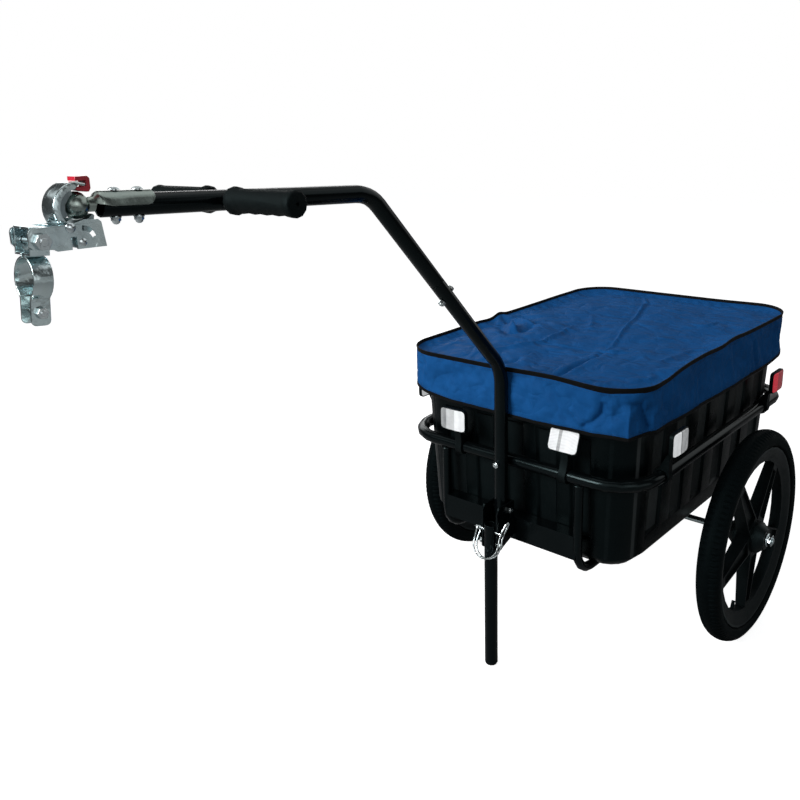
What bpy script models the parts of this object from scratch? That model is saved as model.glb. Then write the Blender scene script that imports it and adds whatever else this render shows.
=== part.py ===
# Two-wheeled bike cargo trailer: tube frame, moulded tub, cover, drawbar and ball coupling.
# Metres, +Z up, -Y towards the bicycle, +X to the trailer's left.
# The origin lies on the ground under the support leg.
import math

import bmesh
import bpy
from mathutils import Matrix, Vector

# Clearances
GAP = 0.0003
RUNNING_GAP = 0.0005

# Wheels and axle
WHEEL_RADIUS = 0.200
TYRE_HEIGHT = 0.0300
TRACK_HALF = 0.3066
TYRE_HALF_WIDTH = 0.0214
TYRE_WALL = 0.0032
RIM_HALF_WIDTH = 0.0165
RIM_INNER_HALF_WIDTH = 0.0090
RIM_FLANGE_RADIUS = WHEEL_RADIUS - TYRE_HEIGHT
RIM_FLANGE_THICKNESS = 0.003
RIM_WELL_DEPTH = 0.0145
RIM_SHOULDER_DEPTH = 0.0100
RIM_DEPTH = 0.0270
WHEEL_SIDES = 32
SPOKE_COUNT = 5
SPOKE_FIRST_ANGLE = 51.5
SPOKE_ROOT_HALF_WIDTH = 0.0190
SPOKE_TIP_HALF_WIDTH = 0.0105
SPOKE_ROOT_HALF_DEPTH = 0.0125
SPOKE_TIP_HALF_DEPTH = 0.0088
SPOKE_LIP = 0.0030
SPOKE_POCKET_DEPTH = 0.0055
HUB_HALF_LENGTH = 0.0320
HUB_RADIUS = 0.0300
HUB_SIDES = 16
BUSH_RADIUS = 0.0090
AXLE_RADIUS = 0.0060
AXLE_COLLAR_RADIUS = 0.0090
AXLE_COLLAR_WIDTH = 0.0040
AXLE_NUT_FLATS = 0.0190
AXLE_NUT_HEIGHT = 0.0075
WASHER_RADIUS = 0.0125
WASHER_THICKNESS = 0.0020
AXLE_TIP = 0.0030
VALVE_ANGLE = 245.0
VALVE_RADIUS = 0.0032
VALVE_LENGTH = 0.0180

# Frame
RING_TUBE_RADIUS = 0.0110
RING_OUTSIDE_TUB = 0.0113
RING_AHEAD_OF_TUB = 0.0105
RING_FRONT_Y = 0.0530
RING_CORNER_RADIUS = 0.0750
RING_Z = 0.3834
HOOP_TUBE_RADIUS = 0.0080
HOOP_X = 0.1410
HOOP_ABOVE_AXLE = 0.0070
HOOP_BEND_RADIUS = 0.0450
CROSSBAR_HEIGHT = 0.0430
CROSSBAR_DEPTH = 0.0270
CROSSBAR_THICKNESS = 0.0030
CROSSBAR_TOP_Z = 0.2795
SADDLE_WIDTH = 0.0200
SADDLE_THICKNESS = 0.0025
SADDLE_LENGTH = 0.0400

# Drawbar
DRAWBAR_RADIUS = 0.01175
DRAWBAR_WALL = 0.0018
DRAWBAR_FOOT_Z = 0.2895
DRAWBAR_KNEE_Z = 0.5538
DRAWBAR_SHOULDER_Y = -0.2673
DRAWBAR_SHOULDER_Z = 0.8649
DRAWBAR_FRONT_Y = -0.6485
DRAWBAR_RISE = 0.0408
KNEE_BEND_RADIUS = 0.0700
SHOULDER_BEND_RADIUS = 0.0600
JOINT_FROM_KNEE = 0.2370
JOINT_INSERT = 0.0700
JOINT_STEP = 0.0006
JOINT_BOLT_FROM_SEAM = 0.0330
HANDLE_BEHIND_END = 0.1469
HANDLE_RADIUS = 0.0090
GRIP_RADIUS = 0.0138
GRIP_FLANGE_RADIUS = 0.0158
GRIP_START = 0.0205
GRIP_END = 0.1300
GRIP_WAVE = 0.0011
GRIP_FINGERS = 4
HANDLE_INSERT = 0.0900

# Support leg, its bracket and its lock pin
LEG_RADIUS = 0.01175
LEG_WALL = 0.0018
LEG_TOP_Z = 0.2784
LEG_PIVOT_Z = 0.2430
LOCK_PIN_Z = 0.2650
LOCK_PIN_RADIUS = 0.0030
LOCK_PIN_HEAD = 0.0043
LOCK_PIN_LEFT = -0.0255
LOCK_PIN_RIGHT = 0.0262
LEG_CAP_HEIGHT = 0.0080
LEG_PLUG_HEIGHT = 0.0200
BRACKET_INNER_HALF = 0.0135
BRACKET_PLATE = 0.0035
BRACKET_FRONT_Y = -0.0045
BRACKET_TOP_Z = 0.3120
BRACKET_BOTTOM_Z = 0.2310
BRACKET_BOLT_Z = 0.2990
BAIL_WIRE_RADIUS = 0.0015
BAIL_REACH = 0.0490
BAIL_LEFT_X = -0.0255
BAIL_RIGHT_X = 0.0225
BAIL_TAB_X = 0.0310
BAIL_TAB_RISE = 0.0230
BAIL_TILT = 24.5

# Tub
TUB_TOP_Z = 0.5400
TUB_HALF_WIDTH = 0.2290
TUB_HALF_LENGTH = 0.3265
TUB_DRAFT = 0.0430
TUB_CORNER_RADIUS = 0.0640
TUB_CORNER_STEPS = 5
TUB_WALL = 0.0030
TUB_BOTTOM_CHAMFER = 0.0210
TUB_SIDE_FLANGE = 0.0070
TUB_END_FLANGE = 0.0160
TUB_RIM_DROP = 0.0100
PANEL_SLOPE = 0.0060
PANEL_DEPTH = 0.0065
PANEL_BOTTOM_Z = 0.2660
PANEL_TOP_Z = 0.4500
SIDE_PANELS = 6
SIDE_PANEL_PITCH = 0.0880
SIDE_PANEL_WIDTH = 0.0500
END_PANELS = 5
END_PANEL_PITCH = 0.0660
END_PANEL_WIDTH = 0.0420

# Cover
COVER_THICKNESS = 0.0015
COVER_CLEARANCE = 0.0010
COVER_HEM_Z = 0.4780
COVER_CROWN = 0.0120
COVER_FOLD = 0.0026
COVER_FOLDS_PER_TURN = 26
COVER_REAR_LIFT = 0.0160

# Reflectors
REFLECTOR_WIDTH = 0.0540
REFLECTOR_HEIGHT = 0.0380
REFLECTOR_THICKNESS = 0.0090
REFLECTOR_OUT = 0.0260
REFLECTOR_UP = 0.0580
REFLECTOR_CORNER = 0.0060
REFLECTOR_BAND = 0.0035
REFLECTOR_FACET = 0.0022
REFLECTOR_BRACKET_WIDTH = 0.0140
FRONT_REFLECTOR_LEFT_X = 0.1150
FRONT_REFLECTOR_RIGHT_X = -0.1030
FRONT_LEFT_LEAN = 18.0
SIDE_REFLECTOR_RISE = 0.0060
SIDE_REFLECTOR_FRONT = -0.2400
SIDE_REFLECTOR_REAR = 0.2050

# Ball and ball plate
BALL_RADIUS = 0.0135
BALL_AHEAD_OF_TUBE = 0.0245
BALL_ABOVE_TUBE = 0.0015
NECK_RADIUS = 0.0070
BALL_PLATE_THICKNESS = 0.0026
BALL_PLATE_GAP = 0.0005
BALL_PLATE_LENGTH = 0.0570
BALL_PLATE_TAPER = 0.0065
BALL_PLATE_HALF_ANGLE = 90.0
BALL_BOLT_FRONT = 0.0170
BALL_BOLT_REAR = 0.0430

# Coupler that stays on the bicycle
CUP_AHEAD_OF_BALL = 0.0025
CUP_CENTRE_Z = 0.8805
CUP_OUTER_RADIUS = 0.0255
CUP_WEB = 0.0025
CUP_FLANGE_DEPTH = 0.0070
SOCKET_HALF_WIDTH = 0.0070
CUP_HALF_WIDTH = 0.0125
CUP_START_ANGLE = 68.0
CUP_FLANGE_ANGLE = 96.0
CUP_END_ANGLE = 236.0
CUP_RIVET_ANGLE = 228.0
CUP_RIVET_FROM_CENTRE = 0.0222
ARM_INNER_HALF = 0.0175
ARM_PLATE = 0.0025
ARM_AHEAD_OF_CLAMP = 0.0115
ARM_WEB_LENGTH = 0.0045
ARM_BEHIND_BALL = 0.0145
ARM_BOTTOM_Z = 0.8430
ARM_TOP_Z = 0.8670
JAW_AHEAD_OF_BALL = 0.0068
JAW_PIVOT_Z = 0.8492
JAW_HALF_WIDTH = 0.0110
JAW_SLOT_RADIUS = 0.0135
JAW_SLOT_START = 74.0
JAW_TRAVEL = 45.0
JAW_PIN_RADIUS = 0.0020
JAW_RIVET_RADIUS = 0.0025
CLIP_HALF_WIDTH = 0.0080
CLIP_THICKNESS = 0.0042
CLIP_REACH = 0.0080
CLIP_BEHIND = 0.0026
CLIP_TIP_THICKNESS = 0.0034

# Seat-post clamp
CLAMP_AHEAD_OF_BALL = 0.0470
CLAMP_LEAN = 5.0
CLAMP_TAB_CORNER = 0.0050
CLAMP_HINGE_Z = 0.8540
CLAMP_STRIP_WIDTH = 0.0190
CLAMP_STRIP = 0.0022
CLAMP_RING_Z = 0.8185
CLAMP_RING_RADIUS = 0.0204
CLAMP_BOX_HALF = 0.0150
CLAMP_NECK_GAP = 0.0014
CLAMP_TAB_X = 0.0105
CLAMP_TAB_BOTTOM_Z = 0.7740
CLAMP_PINCH_Z = 0.7865

# Fasteners
BOLT_RADIUS = 0.0030
BOLT_FLATS = 0.0100
BOLT_HEAD = 0.0040
BOLT_NUT = 0.0050
CROSS_BOLT_TIP = 0.0006
HINGE_BOLT_RADIUS = 0.0040
HINGE_BOLT_FLATS = 0.0145

# Derived places
RIM_WELL_RADIUS = RIM_FLANGE_RADIUS - RIM_WELL_DEPTH
RIM_INNER_RADIUS = RIM_FLANGE_RADIUS - RIM_DEPTH
RING_HALF_WIDTH = TUB_HALF_WIDTH + RING_OUTSIDE_TUB
RING_HALF_LENGTH = TUB_HALF_LENGTH + RING_AHEAD_OF_TUB
AXLE_Y = RING_FRONT_Y + RING_HALF_LENGTH
HOOP_BOTTOM_Z = WHEEL_RADIUS + HOOP_ABOVE_AXLE
HANDLE_Y = DRAWBAR_FRONT_Y + HANDLE_BEHIND_END
DRAWBAR_Y = RING_FRONT_Y - RING_TUBE_RADIUS - DRAWBAR_RADIUS - GAP
BRACKET_WEB_FRONT_Y = DRAWBAR_Y + DRAWBAR_RADIUS + GAP
BRACKET_WEB_REAR_Y = BRACKET_WEB_FRONT_Y + BRACKET_PLATE
CROSSBAR_FRONT_Y = BRACKET_WEB_REAR_Y + GAP
BRACKET_OUTER_HALF = BRACKET_INNER_HALF + BRACKET_PLATE
TUBE_DIRECTION = Vector((0.0, -1.0, DRAWBAR_RISE)).normalized()
BALL_Y = DRAWBAR_FRONT_Y - BALL_AHEAD_OF_TUBE
BALL_PLATE_REAR_Y = DRAWBAR_FRONT_Y + BALL_PLATE_LENGTH
BALL_PLATE_FRONT_Y = DRAWBAR_FRONT_Y + BALL_PLATE_TAPER
BALL_BOLT_YS = (DRAWBAR_FRONT_Y + BALL_BOLT_FRONT, DRAWBAR_FRONT_Y + BALL_BOLT_REAR)
CUP_CENTRE = (BALL_Y - CUP_AHEAD_OF_BALL, CUP_CENTRE_Z)
JAW_PIVOT = (BALL_Y - JAW_AHEAD_OF_BALL, JAW_PIVOT_Z)
CLAMP_Y = BALL_Y - CLAMP_AHEAD_OF_BALL
ARM_FRONT_Y = CLAMP_Y - ARM_AHEAD_OF_CLAMP
ARM_REAR_Y = BALL_Y + ARM_BEHIND_BALL
ARM_OUTER_HALF = ARM_INNER_HALF + ARM_PLATE
TUB_BOTTOM_Z = HOOP_BOTTOM_Z + HOOP_TUBE_RADIUS + RUNNING_GAP

BLACK_PAINT = ("black_paint", (0.012, 0.012, 0.013), 0.35, 0.0)
BLACK_PLASTIC = ("black_plastic", (0.014, 0.014, 0.016), 0.50, 0.0)
TUB_PLASTIC = ("tub_plastic", (0.016, 0.017, 0.019), 0.55, 0.0)
TYRE_RUBBER = ("tyre_rubber", (0.020, 0.020, 0.021), 0.80, 0.0)
GRIP_RUBBER = ("grip_rubber", (0.022, 0.022, 0.024), 0.65, 0.0)
ZINC = ("zinc_plate", (0.62, 0.63, 0.64), 0.28, 1.0)
DARK_ZINC = ("dark_zinc", (0.30, 0.31, 0.32), 0.40, 1.0)
STEEL = ("bright_steel", (0.72, 0.72, 0.72), 0.22, 1.0)
RED_PLASTIC = ("red_plastic", (0.62, 0.02, 0.03), 0.35, 0.0)
RED_LENS = ("red_lens", (0.60, 0.01, 0.03), 0.15, 0.0)
WHITE_LENS = ("white_lens", (0.85, 0.86, 0.88), 0.12, 0.0)
BLUE_FABRIC = ("blue_fabric", (0.015, 0.085, 0.33), 0.60, 0.0)

parts = None
cutters = None


# Scene, materials and links

def clear_scene():
    for old in list(bpy.data.objects):
        bpy.data.objects.remove(old, do_unlink=True)


def make_collection(name):
    found = bpy.data.collections.get(name)
    if found is None:
        found = bpy.data.collections.new(name)
        bpy.context.scene.collection.children.link(found)
    return found


def make_material(spec):
    name, colour, roughness, metallic = spec
    found = bpy.data.materials.get(name)
    if found is None:
        found = bpy.data.materials.new(name)
        found.use_nodes = True
        shader = found.node_tree.nodes["Principled BSDF"]
        shader.inputs["Base Color"].default_value = (*colour, 1.0)
        shader.inputs["Roughness"].default_value = roughness
        shader.inputs["Metallic"].default_value = metallic
    return found


def place(name, data, spec):
    made = bpy.data.objects.new(name, data)
    parts.objects.link(made)
    if spec is not None:
        data.materials.clear()
        data.materials.append(make_material(spec))
    return made


def as_cutter(made):
    parts.objects.unlink(made)
    cutters.objects.link(made)
    made.hide_render = True
    made.display_type = "WIRE"
    return made


def to_mesh_object(made):
    evaluated = made.evaluated_get(bpy.context.evaluated_depsgraph_get())
    data = bpy.data.meshes.new_from_object(evaluated)
    work = bmesh.new()
    work.from_mesh(data)
    bmesh.ops.remove_doubles(work, verts=work.verts, dist=1e-6)
    bmesh.ops.recalc_face_normals(work, faces=work.faces)
    work.to_mesh(data)
    work.free()
    name = made.name
    matrix = made.matrix_world.copy()
    bpy.data.objects.remove(made, do_unlink=True)
    result = bpy.data.objects.new(name, data)
    result.matrix_world = matrix
    parts.objects.link(result)
    return result


# Shapes

def smooth(made, angle=35.0):
    made.data.shade_smooth()
    made.data.set_sharp_from_angle(angle=math.radians(angle))
    return made


def from_bmesh(name, work, spec):
    bmesh.ops.recalc_face_normals(work, faces=work.faces)
    data = bpy.data.meshes.new(name)
    work.to_mesh(data)
    work.free()
    return place(name, data, spec)


def box(name, low, high, spec=None):
    work = bmesh.new()
    size = Vector(high) - Vector(low)
    centre = (Vector(high) + Vector(low)) / 2
    frame = Matrix.Translation(centre) @ Matrix.Diagonal((*size, 1.0))
    bmesh.ops.create_cube(work, size=1.0, matrix=frame)
    return from_bmesh(name, work, spec)


def axis_frame(centre, direction):
    turn = Vector((0, 0, 1)).rotation_difference(Vector(direction).normalized())
    return Matrix.Translation(centre) @ turn.to_matrix().to_4x4()


def cylinder(name, start, end, radius, sides=16, spec=None, turn=0.0):
    start = Vector(start)
    end = Vector(end)
    work = bmesh.new()
    frame = axis_frame((start + end) / 2, end - start) @ Matrix.Rotation(turn, 4, "Z")
    bmesh.ops.create_cone(work, cap_ends=True, segments=sides, radius1=radius, radius2=radius,
                          depth=(end - start).length, matrix=frame)
    return from_bmesh(name, work, spec)


def sphere(name, centre, radius, rings=12, spec=None):
    work = bmesh.new()
    bmesh.ops.create_uvsphere(work, u_segments=rings * 2, v_segments=rings, radius=radius,
                              matrix=Matrix.Translation(centre))
    return from_bmesh(name, work, spec)


def loft(name, sections, spec=None, closed=False):
    """Skins equal-length closed sections; the two ends are capped unless closed."""
    work = bmesh.new()
    rings = [[work.verts.new(point) for point in section] for section in sections]
    count = len(sections[0])
    last = len(rings) if closed else len(rings) - 1
    for index in range(last):
        near = rings[index]
        far = rings[(index + 1) % len(rings)]
        for side in range(count):
            after = (side + 1) % count
            work.faces.new((near[side], near[after], far[after], far[side]))
    if not closed:
        work.faces.new(rings[0])
        work.faces.new(rings[-1])
    return from_bmesh(name, work, spec)


def lathe(name, profile, steps, centre, direction, spec=None, closed=True):
    """Turns (radius, distance along the axis) points round an axis."""
    data = bpy.data.meshes.new(name)
    points = [(radius, 0.0, along) for radius, along in profile]
    edges = [(i, i + 1) for i in range(len(points) - 1)]
    if closed:
        edges.append((len(points) - 1, 0))
    data.from_pydata(points, edges, [])
    made = place(name, data, spec)
    made.matrix_world = axis_frame(centre, direction)
    screw = made.modifiers.new("turn", "SCREW")
    screw.axis = "Z"
    screw.steps = steps
    screw.render_steps = steps
    screw.use_merge_vertices = True
    screw.merge_threshold = 0.00002
    screw.use_smooth_shade = True
    return made


def turned(name, profile, steps, centre, direction, spec=None, closed=True):
    """A lathe that is kept as a mesh, so that it can be cut or joined."""
    made = lathe(name, profile, steps, centre, direction, spec, closed)
    bpy.context.view_layer.update()
    made = to_mesh_object(made)
    if spec is not None:
        made.data.materials.clear()
        made.data.materials.append(make_material(spec))
    return smooth(made)


PLANES = {
    "YZ": Matrix(((0, 0, 1, 0), (1, 0, 0, 0), (0, 1, 0, 0), (0, 0, 0, 1))),
    "XZ": Matrix(((1, 0, 0, 0), (0, 0, -1, 0), (0, 1, 0, 0), (0, 0, 0, 1))),
    "XY": Matrix.Identity(4),
}


def prism(name, outlines, plane, low, high, spec=None):
    """A flat outline, with any holes as further outlines, given thickness across its plane."""
    curve = bpy.data.curves.new(name, "CURVE")
    curve.dimensions = "2D"
    curve.fill_mode = "BOTH"
    curve.extrude = (high - low) / 2
    for outline in outlines:
        spline = curve.splines.new("POLY")
        spline.points.add(len(outline) - 1)
        for point, place_2d in zip(spline.points, outline):
            point.co = (*place_2d, 0.0, 1.0)
        spline.use_cyclic_u = True
    made = place(name, curve, None)
    middle = (high + low) / 2
    if plane == "XZ":
        middle = -middle
    made.matrix_world = PLANES[plane] @ Matrix.Translation((0, 0, middle))
    bpy.context.view_layer.update()
    made = to_mesh_object(made)
    if spec is not None:
        made.data.materials.clear()
        made.data.materials.append(make_material(spec))
    return made


def tube(name, points, radius, sides=12, spec=None, cyclic=False, factors=None, wall=None):
    """A round tube along points; with a wall it is open at both ends, without one it is solid."""
    curve = bpy.data.curves.new(name, "CURVE")
    curve.dimensions = "3D"
    curve.bevel_depth = radius
    curve.bevel_resolution = (sides - 4) // 2
    curve.use_fill_caps = wall is None and not cyclic
    spline = curve.splines.new("POLY")
    spline.points.add(len(points) - 1)
    for index, (point, position) in enumerate(zip(spline.points, points)):
        point.co = (*position, 1.0)
        if factors is not None:
            point.radius = factors[index]
    spline.use_cyclic_u = cyclic
    made = place(name, curve, None)
    bpy.context.view_layer.update()
    made = to_mesh_object(made)
    if spec is not None:
        made.data.materials.clear()
        made.data.materials.append(make_material(spec))
    if wall is not None:
        shell = made.modifiers.new("wall", "SOLIDIFY")
        shell.thickness = wall
        shell.offset = -1.0
        shell.use_even_offset = True
    return smooth(made)


def strip(name, points, plane_y, width, thickness, spec):
    """A bent strip: an open line of (x, z) points drawn along Y and then given thickness."""
    work = bmesh.new()
    near = [work.verts.new((x, plane_y - width / 2, z)) for x, z in points]
    far = [work.verts.new((x, plane_y + width / 2, z)) for x, z in points]
    for index in range(len(points) - 1):
        work.faces.new((near[index], near[index + 1], far[index + 1], far[index]))
    data = bpy.data.meshes.new(name)
    work.to_mesh(data)
    work.free()
    made = place(name, data, spec)
    shell = made.modifiers.new("thickness", "SOLIDIFY")
    shell.thickness = thickness
    shell.offset = 0.0
    shell.use_even_offset = True
    return made


def arc(centre, radius, start, end, steps):
    """Points on an arc, angles in degrees, both ends included."""
    angles = [math.radians(start + (end - start) * step / steps) for step in range(steps + 1)]
    return [(centre[0] + radius * math.cos(a), centre[1] + radius * math.sin(a)) for a in angles]


def rounded_path(corners, radius, steps):
    """Replaces each inner corner of a 3-D polyline by an arc of the given bend radius."""
    path = [Vector(corners[0])]
    for before, corner, after in zip(corners, corners[1:], corners[2:]):
        corner = Vector(corner)
        back = (Vector(before) - corner).normalized()
        ahead = (Vector(after) - corner).normalized()
        half = back.angle(ahead) / 2
        middle = (back + ahead).normalized()
        centre = corner + middle * (radius / math.sin(half))
        first = corner + back * (radius / math.tan(half))
        normal = back.cross(ahead).normalized()
        sweep = math.pi - 2 * half
        for step in range(steps + 1):
            turn = Matrix.Rotation(-sweep * step / steps, 3, normal)
            path.append(centre + turn @ (first - centre))
    path.append(Vector(corners[-1]))
    return path


def rounded_rectangle(half_x, half_y, radius, steps):
    points = []
    for centre_x, centre_y, start in ((1, -1, -90), (1, 1, 0), (-1, 1, 90), (-1, -1, 180)):
        centre = (centre_x * (half_x - radius), centre_y * (half_y - radius))
        points += arc(centre, radius, start, start + 90, steps)
    return points


# Cutting and joining

def cut(made, cutter):
    step = made.modifiers.new("cut_" + cutter.name, "BOOLEAN")
    step.operation = "DIFFERENCE"
    step.solver = "EXACT"
    step.object = cutter
    return made


def join(made, other):
    step = made.modifiers.new("join_" + other.name, "BOOLEAN")
    step.operation = "UNION"
    step.solver = "EXACT"
    step.object = as_cutter(other)
    return made


def drill(made, name, start, end, radius, sides=8):
    return cut(made, as_cutter(cylinder(name, start, end, radius, sides)))


def bolt(name, head_face, nut_face, radius, flats, head, nut, spec, tip=0.002):
    """A hexagon bolt with its nut; the two faces are what it clamps."""
    head_face = Vector(head_face)
    nut_face = Vector(nut_face)
    along = (nut_face - head_face).normalized()
    corner = flats / math.sqrt(3)
    made = cylinder(name, head_face - along * (head * 0.5), nut_face + along * (nut + tip),
                    radius, 8, spec)
    hex_head = cylinder(name + "_head", head_face - along * (head + GAP), head_face - along * GAP,
                        corner, 6)
    hex_nut = cylinder(name + "_nut", nut_face + along * GAP, nut_face + along * (nut + GAP),
                       corner, 6)
    join(made, hex_head)
    join(made, hex_nut)
    return smooth(made)


# Frame

def ring_points():
    outline = rounded_rectangle(RING_HALF_WIDTH, RING_HALF_LENGTH, RING_CORNER_RADIUS, 5)
    return [(x, AXLE_Y + y, RING_Z) for x, y in outline]


def hoop_points(side):
    x = side * HOOP_X
    front = RING_FRONT_Y
    rear = AXLE_Y + RING_HALF_LENGTH
    corners = [(x, front, RING_Z), (x, front, HOOP_BOTTOM_Z), (x, rear, HOOP_BOTTOM_Z),
               (x, rear, RING_Z)]
    return rounded_path(corners, HOOP_BEND_RADIUS, 4)


def ring_bolt_line():
    front = DRAWBAR_Y - DRAWBAR_RADIUS
    rear = RING_FRONT_Y + RING_TUBE_RADIUS
    return Vector((0, front, RING_Z)), Vector((0, rear, RING_Z))


def make_ring_frame():
    made = tube("ring_frame", ring_points(), RING_TUBE_RADIUS, 12, BLACK_PAINT, cyclic=True)
    front, rear = ring_bolt_line()
    return drill(made, "ring_bolt_hole", front, rear + Vector((0, 0.01, 0)), BOLT_RADIUS + GAP)


def make_hoop(side, label):
    made = tube("hoop_" + label, hoop_points(side), HOOP_TUBE_RADIUS, 12, BLACK_PAINT)
    seat = tube("ring_seat_" + label, ring_points(), RING_TUBE_RADIUS + GAP, 12, cyclic=True)
    cut(made, as_cutter(seat))
    x = side * HOOP_X
    reach = HOOP_TUBE_RADIUS * 2
    return drill(made, "axle_seat_" + label, (x - reach, AXLE_Y, WHEEL_RADIUS),
                 (x + reach, AXLE_Y, WHEEL_RADIUS), AXLE_RADIUS + GAP, 12)


def make_front_crossbar():
    front = CROSSBAR_FRONT_Y
    top = CROSSBAR_TOP_Z
    thick = CROSSBAR_THICKNESS
    outline = [(front, top - CROSSBAR_HEIGHT), (front + thick, top - CROSSBAR_HEIGHT),
               (front + thick, top - thick), (front + CROSSBAR_DEPTH, top - thick),
               (front + CROSSBAR_DEPTH, top), (front, top)]
    made = prism("front_crossbar", [outline], "YZ", -HOOP_X, HOOP_X, BLACK_PAINT)
    for side, label in ((1, "left"), (-1, "right")):
        seat = tube("crossbar_end_" + label, hoop_points(side), HOOP_TUBE_RADIUS + GAP, 12)
        cut(made, as_cutter(seat))
    return made


def make_axle():
    hub_inner = TRACK_HALF - HUB_HALF_LENGTH - RUNNING_GAP
    tip = TRACK_HALF + HUB_HALF_LENGTH + WASHER_THICKNESS + AXLE_NUT_HEIGHT + AXLE_TIP
    collar = hub_inner - AXLE_COLLAR_WIDTH
    profile = [(0.0, -tip), (AXLE_RADIUS - 0.001, -tip), (AXLE_RADIUS, -tip + 0.001),
               (AXLE_RADIUS, -hub_inner), (AXLE_COLLAR_RADIUS, -hub_inner),
               (AXLE_COLLAR_RADIUS, -collar), (AXLE_RADIUS, -collar),
               (AXLE_RADIUS, collar), (AXLE_COLLAR_RADIUS, collar),
               (AXLE_COLLAR_RADIUS, hub_inner), (AXLE_RADIUS, hub_inner),
               (AXLE_RADIUS, tip - 0.001), (AXLE_RADIUS - 0.001, tip), (0.0, tip)]
    return turned("axle", profile, 12, (0, AXLE_Y, WHEEL_RADIUS), (1, 0, 0), ZINC, closed=False)


def make_axle_saddle(side, label):
    """A strap under the axle whose two feet lie on the underside of the hoop."""
    inner = AXLE_RADIUS + GAP
    outer = inner + SADDLE_THICKNESS
    foot_top = HOOP_BOTTOM_Z - HOOP_TUBE_RADIUS - GAP
    foot_low = foot_top - SADDLE_THICKNESS
    half = SADDLE_LENGTH / 2
    centre = (AXLE_Y, WHEEL_RADIUS)
    outer_angle = math.degrees(math.asin((WHEEL_RADIUS - foot_low) / outer))
    inner_angle = math.degrees(math.asin((WHEEL_RADIUS - foot_top) / inner))
    outline = [(AXLE_Y - half, foot_top), (AXLE_Y - half, foot_low)]
    outline += arc(centre, outer, 180 + outer_angle, 360 - outer_angle, 8)
    outline += [(AXLE_Y + half, foot_low), (AXLE_Y + half, foot_top)]
    outline += arc(centre, inner, 360 - inner_angle, 180 + inner_angle, 8)
    x = side * HOOP_X
    return prism("axle_saddle_" + label, [outline], "YZ", x - SADDLE_WIDTH / 2,
                 x + SADDLE_WIDTH / 2, DARK_ZINC)


# Wheels

def rim_profile():
    """Wide at the flanges that hold the tyre, narrow at the inner edge."""
    half = RIM_HALF_WIDTH
    flange = half - RIM_FLANGE_THICKNESS
    shoulder = RIM_FLANGE_RADIUS - RIM_SHOULDER_DEPTH
    middle = RIM_INNER_RADIUS + RIM_DEPTH * 0.33
    well = RIM_INNER_HALF_WIDTH
    right = [(RIM_FLANGE_RADIUS, flange), (RIM_FLANGE_RADIUS, half), (shoulder, half - 0.0006),
             (middle, RIM_INNER_HALF_WIDTH + 0.0020), (RIM_INNER_RADIUS, RIM_INNER_HALF_WIDTH)]
    left = [(radius, -along) for radius, along in reversed(right)]
    return [(shoulder + 0.0005, -flange), (RIM_WELL_RADIUS, -well), (RIM_WELL_RADIUS, well),
            (shoulder + 0.0005, flange)] + right + [(RIM_INNER_RADIUS - 0.002, 0.0)] + left


def hub_profile():
    half = HUB_HALF_LENGTH
    bore = BUSH_RADIUS + GAP
    return [(bore, half), (HUB_RADIUS * 0.62, half), (HUB_RADIUS * 0.72, half - 0.004),
            (HUB_RADIUS, half - 0.012), (HUB_RADIUS, -half + 0.012),
            (HUB_RADIUS * 0.72, -half + 0.004), (HUB_RADIUS * 0.62, -half), (bore, -half)]


def spoke_section(radius, half_width, outer, inner):
    return [Vector((outer, -half_width, radius)), Vector((outer, half_width, radius)),
            Vector((inner, half_width, radius)), Vector((inner, -half_width, radius))]


def add_loft(work, sections, frame):
    rings = [[work.verts.new(frame @ point) for point in section] for section in sections]
    count = len(sections[0])
    for near, far in zip(rings, rings[1:]):
        for side in range(count):
            after = (side + 1) % count
            work.faces.new((near[side], near[after], far[after], far[side]))
    work.faces.new(rings[0])
    work.faces.new(rings[-1])


def spoke_frames(centre):
    for index in range(SPOKE_COUNT):
        angle = SPOKE_FIRST_ANGLE + 360.0 / SPOKE_COUNT * index - 90.0
        yield Matrix.Translation(centre) @ Matrix.Rotation(math.radians(angle), 4, "X")


def spoke_reach():
    """Radii at which the spokes start inside the hub and end inside the rim."""
    return HUB_RADIUS * 0.87, RIM_INNER_RADIUS + 0.003


def make_spokes(name, centre):
    work = bmesh.new()
    root, tip = spoke_reach()
    sections = [
        spoke_section(root, SPOKE_ROOT_HALF_WIDTH, SPOKE_ROOT_HALF_DEPTH, -SPOKE_ROOT_HALF_DEPTH),
        spoke_section(tip, SPOKE_TIP_HALF_WIDTH, SPOKE_TIP_HALF_DEPTH, -SPOKE_TIP_HALF_DEPTH)]
    for frame in spoke_frames(centre):
        add_loft(work, sections, frame)
    return from_bmesh(name, work, None)


def make_pockets(name, centre, side):
    """Sunk faces of the spokes on one side of the wheel, as one cutter."""
    work = bmesh.new()
    low = HUB_RADIUS + 0.008
    high = RIM_INNER_RADIUS - 0.010
    root, tip = spoke_reach()
    sections = []
    for radius in (low, high):
        share = (radius - root) / (tip - root)
        width = SPOKE_ROOT_HALF_WIDTH + (SPOKE_TIP_HALF_WIDTH - SPOKE_ROOT_HALF_WIDTH) * share
        depth = SPOKE_ROOT_HALF_DEPTH + (SPOKE_TIP_HALF_DEPTH - SPOKE_ROOT_HALF_DEPTH) * share
        floor = depth - SPOKE_POCKET_DEPTH
        sections.append(spoke_section(radius, width - SPOKE_LIP, side * (depth + 0.01),
                                      side * floor))
    for frame in spoke_frames(centre):
        add_loft(work, sections, frame)
    return from_bmesh(name, work, None)


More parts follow.
